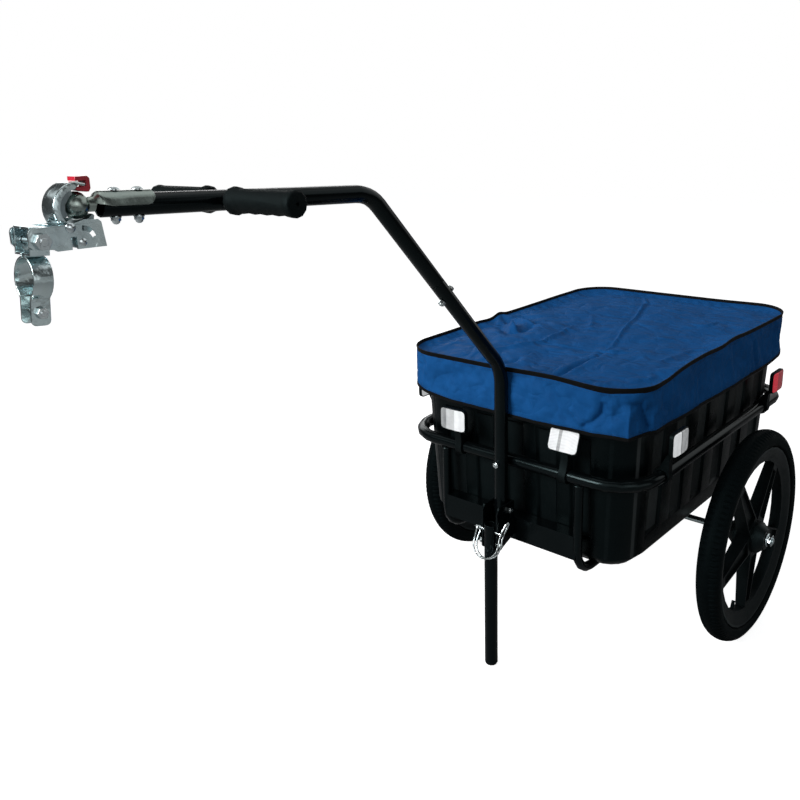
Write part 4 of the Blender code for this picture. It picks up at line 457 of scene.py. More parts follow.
def dress(material, *names):
    """Gives nodes their material and shades them smooth, with sharp edges worn round.

    A name that ends in _ stands for the left piece and the right one."""
    for name in [part for name in names
                 for part in ((name + "left", name + "right") if name[-1] == "_" else (name,))]:
        made = NODES[name]
        slots = made.data.materials
        slots.clear()
        slots.append(material)
        if "custom_normal" in made.data.attributes:
            made.data.attributes.remove(made.data.attributes["custom_normal"])
        made.data.shade_smooth()
        made.modifiers.new("weld", "WELD").merge_threshold = SEAM_WELD
        edges = made.modifiers.new("edges", "BEVEL")
        edges.width = EDGE_WEAR
        edges.segments = 2
        edges.limit_method = "ANGLE"
        edges.angle_limit = math.radians(EDGE_ANGLE)
        edges.use_clamp_overlap = True
        edges.harden_normals = True
        made.modifiers.new("even", "WEIGHTED_NORMAL").keep_sharp = True


# Mesh helpers

def finish_mesh(name, work, material, body, angle=35.0):
    """Makes a smooth-shaded piece that rides on a body; edges sharper than the angle stay sharp."""
    bmesh.ops.recalc_face_normals(work, faces=work.faces)
    data = bpy.data.meshes.new(name)
    work.to_mesh(data)
    work.free()
    data.shade_smooth()
    data.set_sharp_from_angle(angle=math.radians(angle))
    made = new_object(name, data)
    data.materials.append(material)
    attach(made, body)
    return made


def join_rings(work, rings, closed=True):
    """Faces from each ring of points to the next one, and on to the first or with end caps."""
    count = len(rings[0])
    for low, high in zip(rings, rings[1:] + (rings[:1] if closed else [])):
        for index in range(count):
            after = (index + 1) % count
            work.faces.new((low[index], low[after], high[after], high[index]))
    if not closed:
        work.faces.new(rings[0][::-1])
        work.faces.new(rings[-1])


def sweep(work, points, section, frames, closed=True):
    """Joins the same section, given in each frame's two axes, at every point."""
    join_rings(work, [[work.verts.new(point + a * u + b * v) for u, v in section]
                      for point, (a, b) in zip(points, frames)], closed)


def circle(radius, sides):
    turns = [2 * math.pi * index / sides for index in range(sides)]
    return [(radius * math.cos(turn), radius * math.sin(turn)) for turn in turns]


def rounded_outline(inner_x, inner_y, radius_x, radius_y, steps):
    """A box's outline with round corners; their centres lie at the inner sizes."""
    return [(a * inner_x + radius_x * math.cos(turn), b * inner_y + radius_y * math.sin(turn))
            for a, b, start in QUADRANTS
            for turn in (math.radians(start + 90 * step / steps) for step in range(steps + 1))]


# Cover: cloth top and skirt, binding, hem and stitching

COVER_HALF_X, COVER_HALF_Y, COVER_RADIUS = 0.24, 0.3465, 0.0735
COVER_HEM_Z, CORNER_HEM_RISE, CORNER_REACH = 0.4665, 0.0105, 0.075
HEM_HEIGHT, SKIRT_DROP, SKIRT_FLARE = 0.005, 0.084, 0.0015
CELLS_X, CELLS_Y, SKIRT_ROWS, FINER, ROWS_FINER = 60, 86, 7, 3, 4
CORNER_TIP = (0.2228, -0.3318)
CLOTH_THICKNESS, CROWN = 0.0009, 0.003
OVERLONG, CLOTH_FRAMES, CLOTH_REACH = 0.01, 26, 0.008
CLOTH = {"quality": 6, "mass": 0.03, "tension_stiffness": 30, "compression_stiffness": 6,
         "shear_stiffness": 8, "bending_stiffness": 0.15, "vertex_group_mass": "sewn",
         "shrink_min": -OVERLONG, "shrink_max": -OVERLONG}
CLOTH_GRAVITY = 0.12
CREASE_DEPTH, FOLD_DEPTH = 3.6, 2.1
QUARTER_ARC = COVER_RADIUS * math.pi / 4
FAR = 9.0
RIM_LOW, RIM_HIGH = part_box("tub")
RIM_HALF_X, RIM_HALF_Y = (RIM_HIGH.x - RIM_LOW.x) / 2, (RIM_HIGH.y - RIM_LOW.y) / 2
RIM_RADIUS, RIM_CLEARANCE = 0.06, 0.0016
SIDE_FLANGE, END_FLANGE, FLANGE_HEIGHTS = 0.006, 0.015, (0.516, 0.528)
SEAM_BASE, SEAM_RISE = 0.548, 0.01
# The near corner's two sides of the seam: (place, height) points
FRONT_SEAM = [(-0.24, 0.548), (-0.1, 0.5478), (0.0, 0.5484), (0.0876, 0.55), (0.166, 0.547),
              (0.24, 0.544)]
LEFT_SEAM = [(-0.3465, 0.544), (-0.262, 0.5436), (-0.24, 0.545), (-0.188, 0.552),
             (-0.0933, 0.5556), (-0.012, 0.5552), (0.012, 0.5578), (0.0888, 0.5566),
             (0.245, 0.5562), (0.3465, 0.559)]
# A lift and a dip of the far seam: place along the cover, height and width
PUCKERS = ((-0.034, 0.0048, 0.017), (-0.072, -0.0018, 0.022))
# Noises of the top and the skirt: height, level, its change down the skirt, scale, ridged or not
TOP_WAVES = ((0.008, 0.4, 0.0, 7.0, False), (0.0038, 5.2, 0.0, 17.0, False),
             (0.0006, 2.2, 0.0, 46.0, False), (0.0062, 6.6, 0.0, 9.0, True),
             (0.0034, 9.1, 0.0, 21.0, True))
SKIRT_WAVES = ((0.0024, 7.7, 1.0, 13.0, False), (0.0009, 1.3, 0.6, 38.0, False),
               (-0.0022, 4.4, 0.5, 15.0, True))
BINDING = {"high": 0.0084, "thick": 0.0024, "middle": 0.0014, "lean": 0.22, "fuller": 0.0028}
HEM = {"high": HEM_HEIGHT + 0.001, "thick": 0.0026, "middle": -0.0008}
# Stitches: their spacing, the part of it that shows, and how they lie on the cloth
STITCH, STITCH_ENDS, STITCH_RADIUS = 0.0043, (0.15, 0.85), 0.00034
STITCH_OUT, STITCH_BULGE, STITCH_LIFTS = 0.0007, 0.0003, (-0.0062, 0.0048)

# Skirt folds near the camera: (along the edge, height) points, how far out, and how wide
FOLDS = [
    ([(0.0, 0.47), (0.0008, 0.5), (0.004, 0.538)], 0.0018, 0.007),
    ([(-0.0382, 0.54), (-0.0417, 0.505), (-0.056, 0.49), (-0.0719, 0.4813)], -0.003, 0.0042),
    ([(-0.03, 0.538), (-0.028, 0.5), (-0.025, 0.485)], 0.002, 0.007),
    ([(-0.0969, 0.5021), (-0.086, 0.49), (-0.0768, 0.4838)], 0.0024, 0.004),
    ([(-0.135, 0.535), (-0.118, 0.505), (-0.108, 0.485)], -0.0018, 0.009),
    ([(-0.17, 0.54), (-0.165, 0.48)], 0.0016, 0.011),
    ([(0.005, 0.528), (0.0198, 0.5206), (0.029, 0.499), (0.0385, 0.4813)], -0.0042, 0.006),
    ([(0.05, 0.54), (0.052, 0.485)], 0.0022, 0.01),
    ([(0.08, 0.535), (0.084, 0.5)], -0.0012, 0.006),
    ([(0.459, 0.533), (0.468, 0.51), (0.484, 0.488)], -0.004, 0.0034),
    ([(0.466, 0.533), (0.476, 0.51), (0.492, 0.488)], 0.0022, 0.004),
    ([(0.435, 0.54), (0.44, 0.485)], 0.0014, 0.012),
    ([(0.22, 0.545), (0.23, 0.48)], -0.0012, 0.014),
]

# Creases of the top: (x, y) points, height (a furrow is below 0) and width
CREASES = [
    ([(0.069, -0.132), (0.045, -0.04), (-0.01, 0.145), (-0.05, 0.267),
      (-0.078, 0.312)], 0.0013, 0.0028),
    ([(0.069, -0.132), (0.073, -0.17), (0.074, -0.236), (0.07, -0.3),
      (0.04, -0.338)], -0.0017, 0.004),
    ([(0.069, -0.132), (0.082, -0.127), (0.1, -0.116)], 0.0012, 0.003),
    ([(0.055, -0.135), (0.09, -0.14), (0.118, -0.11)], -0.0008, 0.003),
    ([(-0.099, -0.247), (-0.074, -0.198), (-0.058, -0.149), (-0.067, -0.069),
      (-0.076, -0.004)], 0.0011, 0.004),
    ([(0.062, -0.128), (0.023, -0.131), (-0.023, -0.139), (-0.056, -0.145)], 0.0008, 0.0035),
    ([(-0.223, -0.013), (-0.17, -0.039), (-0.122, -0.057)], 0.0018, 0.008),
    ([(-0.183, -0.078), (-0.16, -0.1), (-0.136, -0.117)], 0.003, 0.006),
    ([(-0.19, -0.1), (-0.168, -0.122), (-0.15, -0.135)], -0.0026, 0.007),
    ([(-0.14, -0.148), (-0.13, -0.095), (-0.14, -0.05)], -0.0024, 0.01),
    ([(-0.03, -0.306), (-0.033, -0.257)], -0.001, 0.004),
    ([(-0.083, 0.083), (-0.055, 0.035), (-0.038, -0.006)], 0.0008, 0.006),
    ([(0.139, -0.214), (0.136, -0.141)], -0.0007, 0.005),
    ([(0.178, -0.164), (0.181, -0.13), (0.187, -0.023)], 0.001, 0.006),
    ([(0.106, 0.175), (0.124, 0.166), (0.135, 0.15)], 0.0007, 0.004),
    ([(0.147, 0.117), (0.155, 0.16)], 0.0007, 0.004),
]


def ease(value, low, high):
    """0 below low, 1 above high, and a smooth rise between them."""
    share = np.clip((value - low) / (high - low), 0.0, 1.0)
    return share * share * (3 - 2 * share)


def follow(value, knots):
    """Reads a table of (place, height) along a smooth curve through its knots."""
    places, heights = np.array(knots).T
    slopes = np.gradient(heights, places)
    low = np.clip(np.searchsorted(places, value) - 1, 0, len(places) - 2)
    gap = places[low + 1] - places[low]
    t = np.clip((value - places[low]) / gap, 0.0, 1.0)
    return ((2 * t ** 3 - 3 * t ** 2 + 1) * heights[low]
            + (t ** 3 - 2 * t ** 2 + t) * gap * slopes[low]
            + (3 * t ** 2 - 2 * t ** 3) * heights[low + 1]
            + (t ** 3 - t ** 2) * gap * slopes[low + 1])


def lumps(x, y, z, scale):
    """Smooth noise between -1 and 1 at each point of the arrays."""
    spots = np.stack([np.broadcast_to(value, np.shape(x))
                      for value in (x * scale, y * scale, z)], -1)
    return np.array([noise.noise(spot) for spot in spots.reshape(-1, 3)]).reshape(np.shape(x))


def waves(x, y, table, drop=0.0):
    """The sum of a table's noises, each between its height and its height below 0."""
    total = 0.0
    for height, level, change, scale, ridged in table:
        value = lumps(x, y, level + drop * change, scale)
        total = total + height * (np.abs(value) if ridged else value)
    return total


def seam_height(x, y):
    """The cover's top edge: it rises to the rear, dips at the near corner and wanders a little."""
    along = np.clip((y + COVER_HALF_Y) / (2 * COVER_HALF_Y), 0.0, 1.0)
    height = SEAM_BASE + SEAM_RISE * along
    left, front = ease(x, 0.09, 0.235), ease(-y, 0.22, 0.34)
    height = height + front * (1 - left) * (follow(x, FRONT_SEAM) - height)
    height = height + left * (follow(y, LEFT_SEAM) - height)
    pucker = sum(lift * np.exp(-((y - place) / width) ** 2) for place, lift, width in PUCKERS)
    height = height + pucker * ease(-x, 0.165, 0.235)
    return height + 0.0008 * lumps(x, y, 3.1, 9.0)


def rounded(x, y, half_x, half_y, radius=COVER_RADIUS):
    """Moves points of a rectangle's edge on to the same rectangle with round corners."""
    from_x, from_y = half_x - np.abs(x), half_y - np.abs(y)
    turn = np.radians(np.where(from_y <= from_x, 45 + 45 * from_x / radius,
                               45 - 45 * from_y / radius))
    corner = np.maximum(from_x, from_y) < radius
    return (np.where(corner, np.copysign(half_x - radius + radius * np.cos(turn), x), x),
            np.where(corner, np.copysign(half_y - radius + radius * np.sin(turn), y), y))


def round_near_corner(x, y, half_x, half_y):
    """How far along the edge a point is from the middle of the near corner.

    It is above 0 on the side and below 0 in front."""
    from_x, from_y = x - (half_x - COVER_RADIUS), -y - (half_y - COVER_RADIUS)
    corner = COVER_RADIUS * (math.pi / 4 - np.arctan2(from_y, from_x))
    straight = np.where(from_y > 0, from_x - QUARTER_ARC, QUARTER_ARC - from_y)
    near = (from_x > 0) & (from_y > 0)
    return np.where(near, corner, np.where((from_x > 0) | (from_y > 0), straight, FAR))


def near_line(x, y, line):
    """Distance of each point from a line of points, and how far along it the nearest place is."""
    nearest, share = np.full(np.shape(x), FAR), np.zeros(np.shape(x))
    for index, ((ax, ay), (bx, by)) in enumerate(zip(line, line[1:])):
        dx, dy = bx - ax, by - ay
        t = np.clip(((x - ax) * dx + (y - ay) * dy) / (dx * dx + dy * dy), 0.0, 1.0)
        away = np.hypot(x - ax - t * dx, y - ay - t * dy)
        share = np.where(away < nearest, (index + t) / (len(line) - 1), share)
        nearest = np.minimum(nearest, away)
    return nearest, share


def crease(x, y):
    """The top's creases: each is highest in its middle and has a shallow hollow beside it."""
    total = np.zeros(np.shape(x))
    for line, height, width in CREASES:
        away, share = near_line(x, y, line)
        ends = height * (0.35 + 0.65 * np.sin(math.pi * np.clip(share, 0.08, 0.92)))
        total += ends * np.exp(-(away / width) ** 1.3)
        total -= ends * 0.35 * np.exp(-((away - 2.6 * width) / (2.2 * width)) ** 2)
    return CREASE_DEPTH * total * (1 + 0.4 * lumps(x, y, 8.2, 30.0))


def top_points(across, along):
    """The top as a grid, drawn in from a rectangle to the round-cornered outline."""
    u, v = np.meshgrid(np.linspace(-1, 1, across + 1), np.linspace(-1, 1, along + 1),
                       indexing="ij")
    reach = np.maximum(np.abs(u), np.abs(v))
    x, y = u * COVER_HALF_X, v * COVER_HALF_Y
    grow = 1 / np.maximum(reach, 1e-6)
    to_x, to_y = rounded(x * grow, y * grow, COVER_HALF_X, COVER_HALF_Y)
    x = x + (to_x - x * grow) * reach ** 5
    y = y + (to_y - y * grow) * reach ** 5
    loose = ease(1 - reach, 0.0, 0.16) * (waves(x, y, TOP_WAVES) + crease(x, y))
    z = seam_height(x, y) + CROWN * (1 - reach ** 2) + loose
    return np.stack([x, y + AXLE_Y, z], -1)


def border(across, along):
    """The grid's border cells in order round the cover."""
    cells = [(i, 0) for i in range(across)] + [(across, j) for j in range(along)]
    return (cells + [(i, along) for i in range(across, 0, -1)]
            + [(0, j) for j in range(along, 0, -1)])


def skirt_points(across, along, rows):
    """The skirt as rings, from the first one under the seam down to the hem."""
    cells = np.array(border(across, along), float)
    drop, u = np.meshgrid(np.arange(1, rows + 1) / rows, 2 * cells[:, 0] / across - 1,
                          indexing="ij")
    v = np.broadcast_to(2 * cells[:, 1] / along - 1, u.shape)
    half_x, half_y = COVER_HALF_X + SKIRT_FLARE * drop, COVER_HALF_Y + SKIRT_FLARE * drop
    x, y = rounded(u * half_x, v * half_y, half_x, half_y)
    top = seam_height(x, y)
    inward = COVER_RADIUS * (1 - math.sqrt(0.5))
    corner = np.exp(-(np.hypot(np.abs(x) - half_x + inward, np.abs(y) - half_y + inward)
                      / CORNER_REACH) ** 2)
    edge = round_near_corner(x, y, half_x, half_y)
    rise = CORNER_HEM_RISE * corner * (1 - 0.95 * np.exp(-(edge / 0.11) ** 2))
    z = top - (top - COVER_HEM_Z - rise - HEM_HEIGHT * 0.5) * drop
    size = np.hypot(x, y)
    out_x, out_y = x / size, y / size
    push = waves(x, y, SKIRT_WAVES, drop) * drop * ease(drop, 0.0, 0.3)
    for line, height, width in FOLDS:
        away, _ = near_line(edge, z, line)
        fold = FOLD_DEPTH * height * np.exp(-(away / width) ** 1.25)
        push = push + fold * ease(drop, 0.02, 0.32)
    pointed = np.abs(edge) < QUARTER_ARC
    blend = np.where(pointed, ease(drop, 0.12, 0.55), 0.0)
    share = np.where(pointed, 1 - np.abs(edge) / QUARTER_ARC, 0.0)
    end_x = np.where(edge < 0, half_x - COVER_RADIUS, half_x)
    end_y = np.where(edge < 0, -half_y, COVER_RADIUS - half_y)
    x = x + (end_x + (CORNER_TIP[0] - end_x) * share - x) * blend
    y = y + (end_y + (CORNER_TIP[1] - end_y) * share - y) * blend
    push = push * (1 - 0.6 * share ** 4) - 0.002 * np.sin(math.pi * share) * blend
    return np.stack([x + out_x * push, AXLE_Y + y + out_y * push, z], -1)


def cloth_mesh(name, top, skirt):
    """One mesh of the top's grid and the skirt's rings; gives the seam's and the hem's points."""
    across, along = top.shape[0] - 1, top.shape[1] - 1
    row, count = along + 1, len(skirt[0])
    first = (across + 1) * row
    faces = [(i * row + j, (i + 1) * row + j, (i + 1) * row + j + 1, i * row + j + 1)
             for i in range(across) for j in range(along)]
    rings = [[i * row + j for i, j in border(across, along)]]
    rings += [list(range(first + index * count, first + (index + 1) * count))
              for index in range(len(skirt))]
    for high, low in zip(rings, rings[1:]):
        faces += [(high[k], low[k], low[(k + 1) % count], high[(k + 1) % count])
                  for k in range(count)]
    points = np.concatenate([top.reshape(-1, 3), skirt.reshape(-1, 3)])
    data = bpy.data.meshes.new(name)
    data.from_pydata([tuple(point) for point in points], [], faces)
    return new_object(name, data), rings[0], rings[-1]


def simulate(top, skirt, farthest):
    """Lets the slightly over-long cloth buckle between its sewn edges; gives each point's move."""
    made, seam, hem = cloth_mesh("cover_trial", top, skirt)
    made.vertex_groups.new(name="sewn").add(seam + hem, 1.0, "REPLACE")
    scene = bpy.context.scene
    cloth = made.modifiers.new("Cloth", "CLOTH")
    for key, value in CLOTH.items():
        setattr(cloth.settings, key, value)
    cloth.settings.effector_weights.gravity = CLOTH_GRAVITY
    cloth.collision_settings.use_collision = False
    cloth.point_cache.frame_start = 1
    cloth.point_cache.frame_end = CLOTH_FRAMES
    for moment in range(1, CLOTH_FRAMES + 1):
        scene.frame_set(moment)
        bpy.context.view_layer.update()
    seen = made.evaluated_get(bpy.context.evaluated_depsgraph_get())
    moved = np.array([vertex.co for vertex in seen.data.vertices], float)
    scene.frame_set(1)
    bpy.data.objects.remove(made)
    shift = moved - np.concatenate([top.reshape(-1, 3), skirt.reshape(-1, 3)])
    length = np.linalg.norm(shift, axis=1, keepdims=True)
    shift *= np.minimum(1.0, farthest / np.maximum(length, 1e-9))
    count = top.shape[0] * top.shape[1]
    return shift[:count].reshape(top.shape), shift[count:].reshape(skirt.shape)


def finer(field, axis, times, closed):
    """Samples a field more closely along one axis, on a smooth curve through its values."""
    count = field.shape[axis]
    place = np.arange(count * times if closed else (count - 1) * times + 1) / times
    low = np.floor(place).astype(int)
    if not closed:
        low = np.minimum(low, count - 2)
    t = (place - low).reshape([-1 if index == axis else 1 for index in range(field.ndim)])

    def near(step):
        index = (low + step) % count if closed else np.clip(low + step, 0, count - 1)
        return np.take(field, index, axis)

    before, start, end, after = near(-1), near(0), near(1), near(2)
    return start + 0.5 * t * (end - before + t * (2 * before - 5 * start + 4 * end - after
                                                  + t * (3 * (start - end) + after - before)))


def clear_of_tub(skirt):
    """Moves skirt points that a fold takes into the tub's rim, or its wall below, back out."""
    x, y = skirt[..., 0], skirt[..., 1] - AXLE_Y
    below = 1 - ease(skirt[..., 2], *FLANGE_HEIGHTS)
    half_x = RIM_HALF_X - RIM_RADIUS - SIDE_FLANGE * below
    half_y = RIM_HALF_Y - RIM_RADIUS - END_FLANGE * below
    over_x, over_y = np.maximum(np.abs(x) - half_x, 0.0), np.maximum(np.abs(y) - half_y, 0.0)
    size = np.maximum(np.hypot(over_x, over_y), 1e-9)
    move = np.maximum(RIM_RADIUS + RIM_CLEARANCE - size, 0.0)
    fixed = skirt.copy()
    fixed[..., 0] += np.copysign(over_x / size * move, x)
    fixed[..., 1] += np.copysign(over_y / size * move, y)
    return fixed


def cloth_points():
    """The cover's cloth: its sewn form, plus the buckling found on a coarser net of it."""
    top = top_points(CELLS_X * FINER, CELLS_Y * FINER)
    skirt = skirt_points(CELLS_X * FINER, CELLS_Y * FINER, SKIRT_ROWS * ROWS_FINER)
    shift_top, shift_skirt = simulate(top_points(CELLS_X, CELLS_Y),
                                      skirt_points(CELLS_X, CELLS_Y, SKIRT_ROWS), CLOTH_REACH)
    top += finer(finer(shift_top, 0, FINER, False), 1, FINER, False)
    seam = np.zeros((1,) + shift_skirt.shape[1:])
    rows = finer(np.concatenate([seam, shift_skirt]), 0, ROWS_FINER, False)[1:]
    skirt += finer(rows, 1, FINER, True)
    return top, clear_of_tub(skirt)


def outward(along, point):
    """The level direction square to an edge that leads away from the cover's middle."""
    out = Vector((along.y, -along.x, 0)).normalized()
    return -out if out.dot(Vector((point.x, point.y - AXLE_Y, 0))) < 0 else out


def make_edging(name, line, material, high, thick, middle, lean=0.0, fuller=0.0):
    """A flat band along an edge of the cloth: lean tips its upper side out, middle lifts it, and
    fuller makes it higher at the near corner."""
    centres, frames = [], []
    for index, point in enumerate(line):
        along = line[(index + 1) % len(line)] - line[index - 1]
        across = outward(along, point) * lean + UP * math.sqrt(1 - lean * lean)
        across.normalize()
        edge = round_near_corner(point.x, point.y - AXLE_Y, COVER_HALF_X, COVER_HALF_Y)
        grow = 1 + fuller / high * math.exp(-(edge / CORNER_REACH) ** 2)
        frames.append((across * grow, across.cross(along.normalized())))
        centres.append(point + across * middle)
    edge_radius = thick * 0.45
    section = rounded_outline(high / 2 - edge_radius, 0.00008, edge_radius, thick * 0.5, 2)
    work = bmesh.new()
    sweep(work, centres, section, frames)
    return finish_mesh(name, work, material, "cover", 50)


def make_stitches(lines, material):
    """Short threads beside each line of points, at the height that its lift says."""
    work = bmesh.new()
    for line, lift in lines:
        for index, start in enumerate(line):
            end = line[(index + 1) % len(line)]
            along = end - start
            steps = max(1, round(along.length / STITCH))
            out = outward(along, start)
            bulge = out * STITCH_BULGE
            for step in range(steps):
                low, high = (start.lerp(end, (step + share) / steps) + UP * lift
                             + out * STITCH_OUT for share in STITCH_ENDS)
                points = [low, low.lerp(high, 0.2) + bulge, low.lerp(high, 0.8) + bulge, high]
                sweep(work, points, circle(STITCH_RADIUS, 5), [(out, UP)] * 4, closed=False)
    return finish_mesh("cover_stitches", work, material, "cover")


def make_cover(cloth_material, black_material, thread_material):
    made, seam, hem = cloth_mesh("cover_cloth", *cloth_points())
    top_line, hem_line = ([made.data.vertices[index].co.copy() for index in line[::2]]
                          for line in (seam, hem))
    made.data.materials.append(cloth_material)
    made.data.shade_smooth()
    shell = made.modifiers.new("thickness", "SOLIDIFY")
    shell.thickness = CLOTH_THICKNESS
    shell.offset = -1.0
    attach(made, "cover")
    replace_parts(made, "cover")
    pieces = [make_edging("cover_binding", top_line, black_material, **BINDING),
              make_edging("cover_hem", hem_line, black_material, **HEM),
              make_stitches(zip((top_line, hem_line), STITCH_LIFTS), thread_material)]


# Tyres with moulded tread

TYRE_BLOCKS, BLOCK_STEPS = 118, 4
# Where the tread starts, the depth of its grooves and sipes, and how far off the middle they lie
TREAD_FROM, GROOVE_DEPTH, SIPE_DEPTH = 0.1935, 0.0028, 0.0012
GROOVE_PLACE, SIPE_PLACE = (0.002, 0.01), (0.006, 0.013)
# (radius, half width) from the bead round to the middle of the tread, and back inside the tyre
TYRE_OUTSIDE = [(0.164, 0.0122), (0.168, 0.0126), (0.1704, 0.0136), (0.1716, 0.0138),
                (0.1728, 0.0176), (0.1748, 0.0198), (0.176, 0.0197), (0.179, 0.0209),
                (0.183, 0.0213), (0.1862, 0.0208), (0.1872, 0.0201), (0.1905, 0.0184),
                (0.194, 0.0158), (0.1968, 0.0118), (0.1985, 0.008), (0.199, 0.005),
                (0.1996, 0.003)]
TYRE_CROWN = (0.1998, 0.0)
TYRE_INSIDE = [(0.164, -0.0104), (0.174, -0.015), (0.186, -0.017), (0.1945, -0.007),
               (0.1955, 0.0), (0.1945, 0.007), (0.186, 0.017), (0.174, 0.015),
               (0.164, 0.0104)]


def make_tyre(side, label, material):
    """A closed skin: side walls with ribs, and tread blocks with grooves and sipes across."""
    centre = Vector((side * TRACK_HALF, AXLE_Y, WHEEL_RADIUS))
    outside = TYRE_OUTSIDE + [TYRE_CROWN] + [(r, -w) for r, w in TYRE_OUTSIDE[::-1]]
    work = bmesh.new()
    rings = []
    steps = TYRE_BLOCKS * BLOCK_STEPS
    for step in range(steps):
        turn = 2 * math.pi * step / steps
        out = Vector((0, math.cos(turn), math.sin(turn)))
        ring = []
        for index, (radius, width) in enumerate(outside + TYRE_INSIDE):
            off = abs(width)
            if radius >= TREAD_FROM and index < len(outside) and off:
                skew = (step + (2 if width < 0 else 0)) % BLOCK_STEPS
                if skew == 0:
                    radius -= GROOVE_DEPTH * float(ease(off, *GROOVE_PLACE))
                elif skew == 2 and SIPE_PLACE[0] < off < SIPE_PLACE[1]:
                    radius -= SIPE_DEPTH
            ring.append(work.verts.new(centre + out * radius + Vector((width, 0, 0))))
        rings.append(ring)
    join_rings(work, rings)
    made = finish_mesh("tyre_%s_tread" % label, work, material, "wheel_" + label,
                       28)
    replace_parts(made, "tyre_" + label)


# Weld beads at the hoops' ends, under the ring

WELD_STEPS, WELD_RADIUS, WELD_BEAD, WELD_DROP, WELD_INSET = 40, 0.0082, 0.0019, 0.0006, 0.008


def weld_ring(work, centre, seed):
    """A lumpy bead round an upright tube."""
    side = UP.orthogonal().normalized()
    other = UP.cross(side)
    points, frames = [], []
    for step in range(WELD_STEPS):
        turn = math.radians(360.0 * step / WELD_STEPS)
        out = side * math.cos(turn) + other * math.sin(turn)
        grow = 1 + 0.16 * math.sin(step * 2.1 + seed)
        points.append(Vector(centre) + out * WELD_RADIUS)
        frames.append((out * grow, UP * grow))
    sweep(work, points, circle(WELD_BEAD, 8), frames)


def make_welds(material):
    work = bmesh.new()
    for side, label in SIDES:
        low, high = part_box("hoop_" + label)
        for y in (low.y + WELD_INSET, high.y - WELD_INSET):
            weld_ring(work, ((low.x + high.x) / 2, y, RING_Z - RING_TUBE - WELD_DROP),
                      side + y * 9)
    finish_mesh("frame_welds", work, material, "trailer")


# Reflector housings

LENS_WIDTH, LENS_HEIGHT, LENS_DEPTH, LENS_CORNER = 0.054, 0.038, 0.009, 0.006
LENS_OUT, LENS_UP = 0.0215, 0.058
SIDE_Y, REAR_Y = AXLE_Y - 0.24, AXLE_Y + 0.205
# Each one's place on the ring, turn from facing -Y, lean and height above the usual
REFLECTORS = {
    "front_left": ((0.115, 0.053), 0, 18, 0.0),
    "front_right": ((-0.103, 0.053), 0, 0, 0.0),
    "side_left": ((RING_HALF_WIDTH, SIDE_Y), 90, 0, 0.006),
    "side_right": ((-RING_HALF_WIDTH, SIDE_Y), -90, 0, 0.006),
    "rear_left": ((RING_HALF_WIDTH, REAR_Y), 90, 0, 0.0),
    "rear_right": ((-RING_HALF_WIDTH, REAR_Y), -90, 0, 0.0),
}
# The tray's section: how far beyond the lens's outline, and how far towards its face
TRAY = ((0.0002, -0.0001), (0.0019, -0.0001), (0.0021, 0.001), (0.002, LENS_DEPTH * 0.7),
        (0.0013, LENS_DEPTH * 0.76), (0.0002, LENS_DEPTH * 0.74))


def make_housings(material):
    """A shallow black tray round each lens, with its rim standing a little over the edge."""
    for name, ((x, y), turn, lean, rise) in REFLECTORS.items():
        place = Matrix.Translation((x, y, RING_Z)) @ Matrix.Rotation(math.radians(turn), 4, "Z")
        place = place @ Matrix.Rotation(-math.radians(lean), 4, "X")
        work = bmesh.new()
        rings = []
        for grow, out in TRAY:
            radius = LENS_CORNER + grow
            outline = rounded_outline(LENS_WIDTH / 2 + grow - radius,
                                      LENS_HEIGHT / 2 + grow - radius, radius, radius, 4)
            rings.append([work.verts.new(place @ Vector((u, -LENS_OUT - out, LENS_UP + rise + v)))
                          for u, v in outline])
        join_rings(work, rings)
        finish_mesh("reflector_%s_tray" % name, work, material, "trailer", 40)


# Plate bolts with dome heads and cap nuts

BOLT_LEAN, BOLT_FLAT_RADIUS, BOLT_HEAD, BOLT_NUT, BOLT_STEPS = 0.0394, 0.0058, 0.004, 0.011, 36


def make_cap_bolt(name, material):
    """One turned piece: dome head, shank, and a six-sided cap nut with its flange."""
    low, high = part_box(name)
    axis = Vector((0.0, BOLT_LEAN, 1.0)).normalized()
    side = Vector((1.0, 0.0, 0.0))
    other = axis.cross(side)
    reach = (high.z - low.z - 2 * BOLT_FLAT_RADIUS * BOLT_LEAN) / axis.z
    middle = Vector(((low.x + high.x) / 2, (low.y + high.y) / 2, (low.z + high.z) / 2))
    head = middle + axis * (reach / 2 - BOLT_HEAD)
    nut = -(reach - BOLT_NUT)
    # (radius, place along the axis, 1 where six-sided)
    profile = [(0.0005, 0.003, 0), (0.003, 0.0027, 0), (0.0048, 0.0019, 0),
               (0.0057, 0.0009, 0), (0.0058, 0.0001, 0), (0.003, 0.0001, 0),
               (0.003, nut, 0), (0.0057, nut, 0), (0.0057, nut - 0.0009, 0),
               (0.0051, nut - 0.0011, 1), (0.0051, nut - 0.004, 1), (0.0041, nut - 0.0046, 0),
               (0.0036, nut - 0.0062, 0), (0.0021, nut - 0.0075, 0), (0.0005, nut - 0.0079, 0)]
    work = bmesh.new()
    rings = []
    for radius, along, six in profile:
        ring = []
        for step in range(BOLT_STEPS):
            turn = 2 * math.pi * step / BOLT_STEPS
            flat = (math.cos(math.pi / 6) / math.cos(turn % (math.pi / 3) - math.pi / 6)
                    if six else 1.0)
            out = side * math.cos(turn) + other * math.sin(turn)
            ring.append(work.verts.new(head + axis * along + out * radius * flat))
        rings.append(ring)
    join_rings(work, rings, closed=False)
    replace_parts(finish_mesh(name + "_turned", work, material, "trailer", 40),
                name)


# Everything together

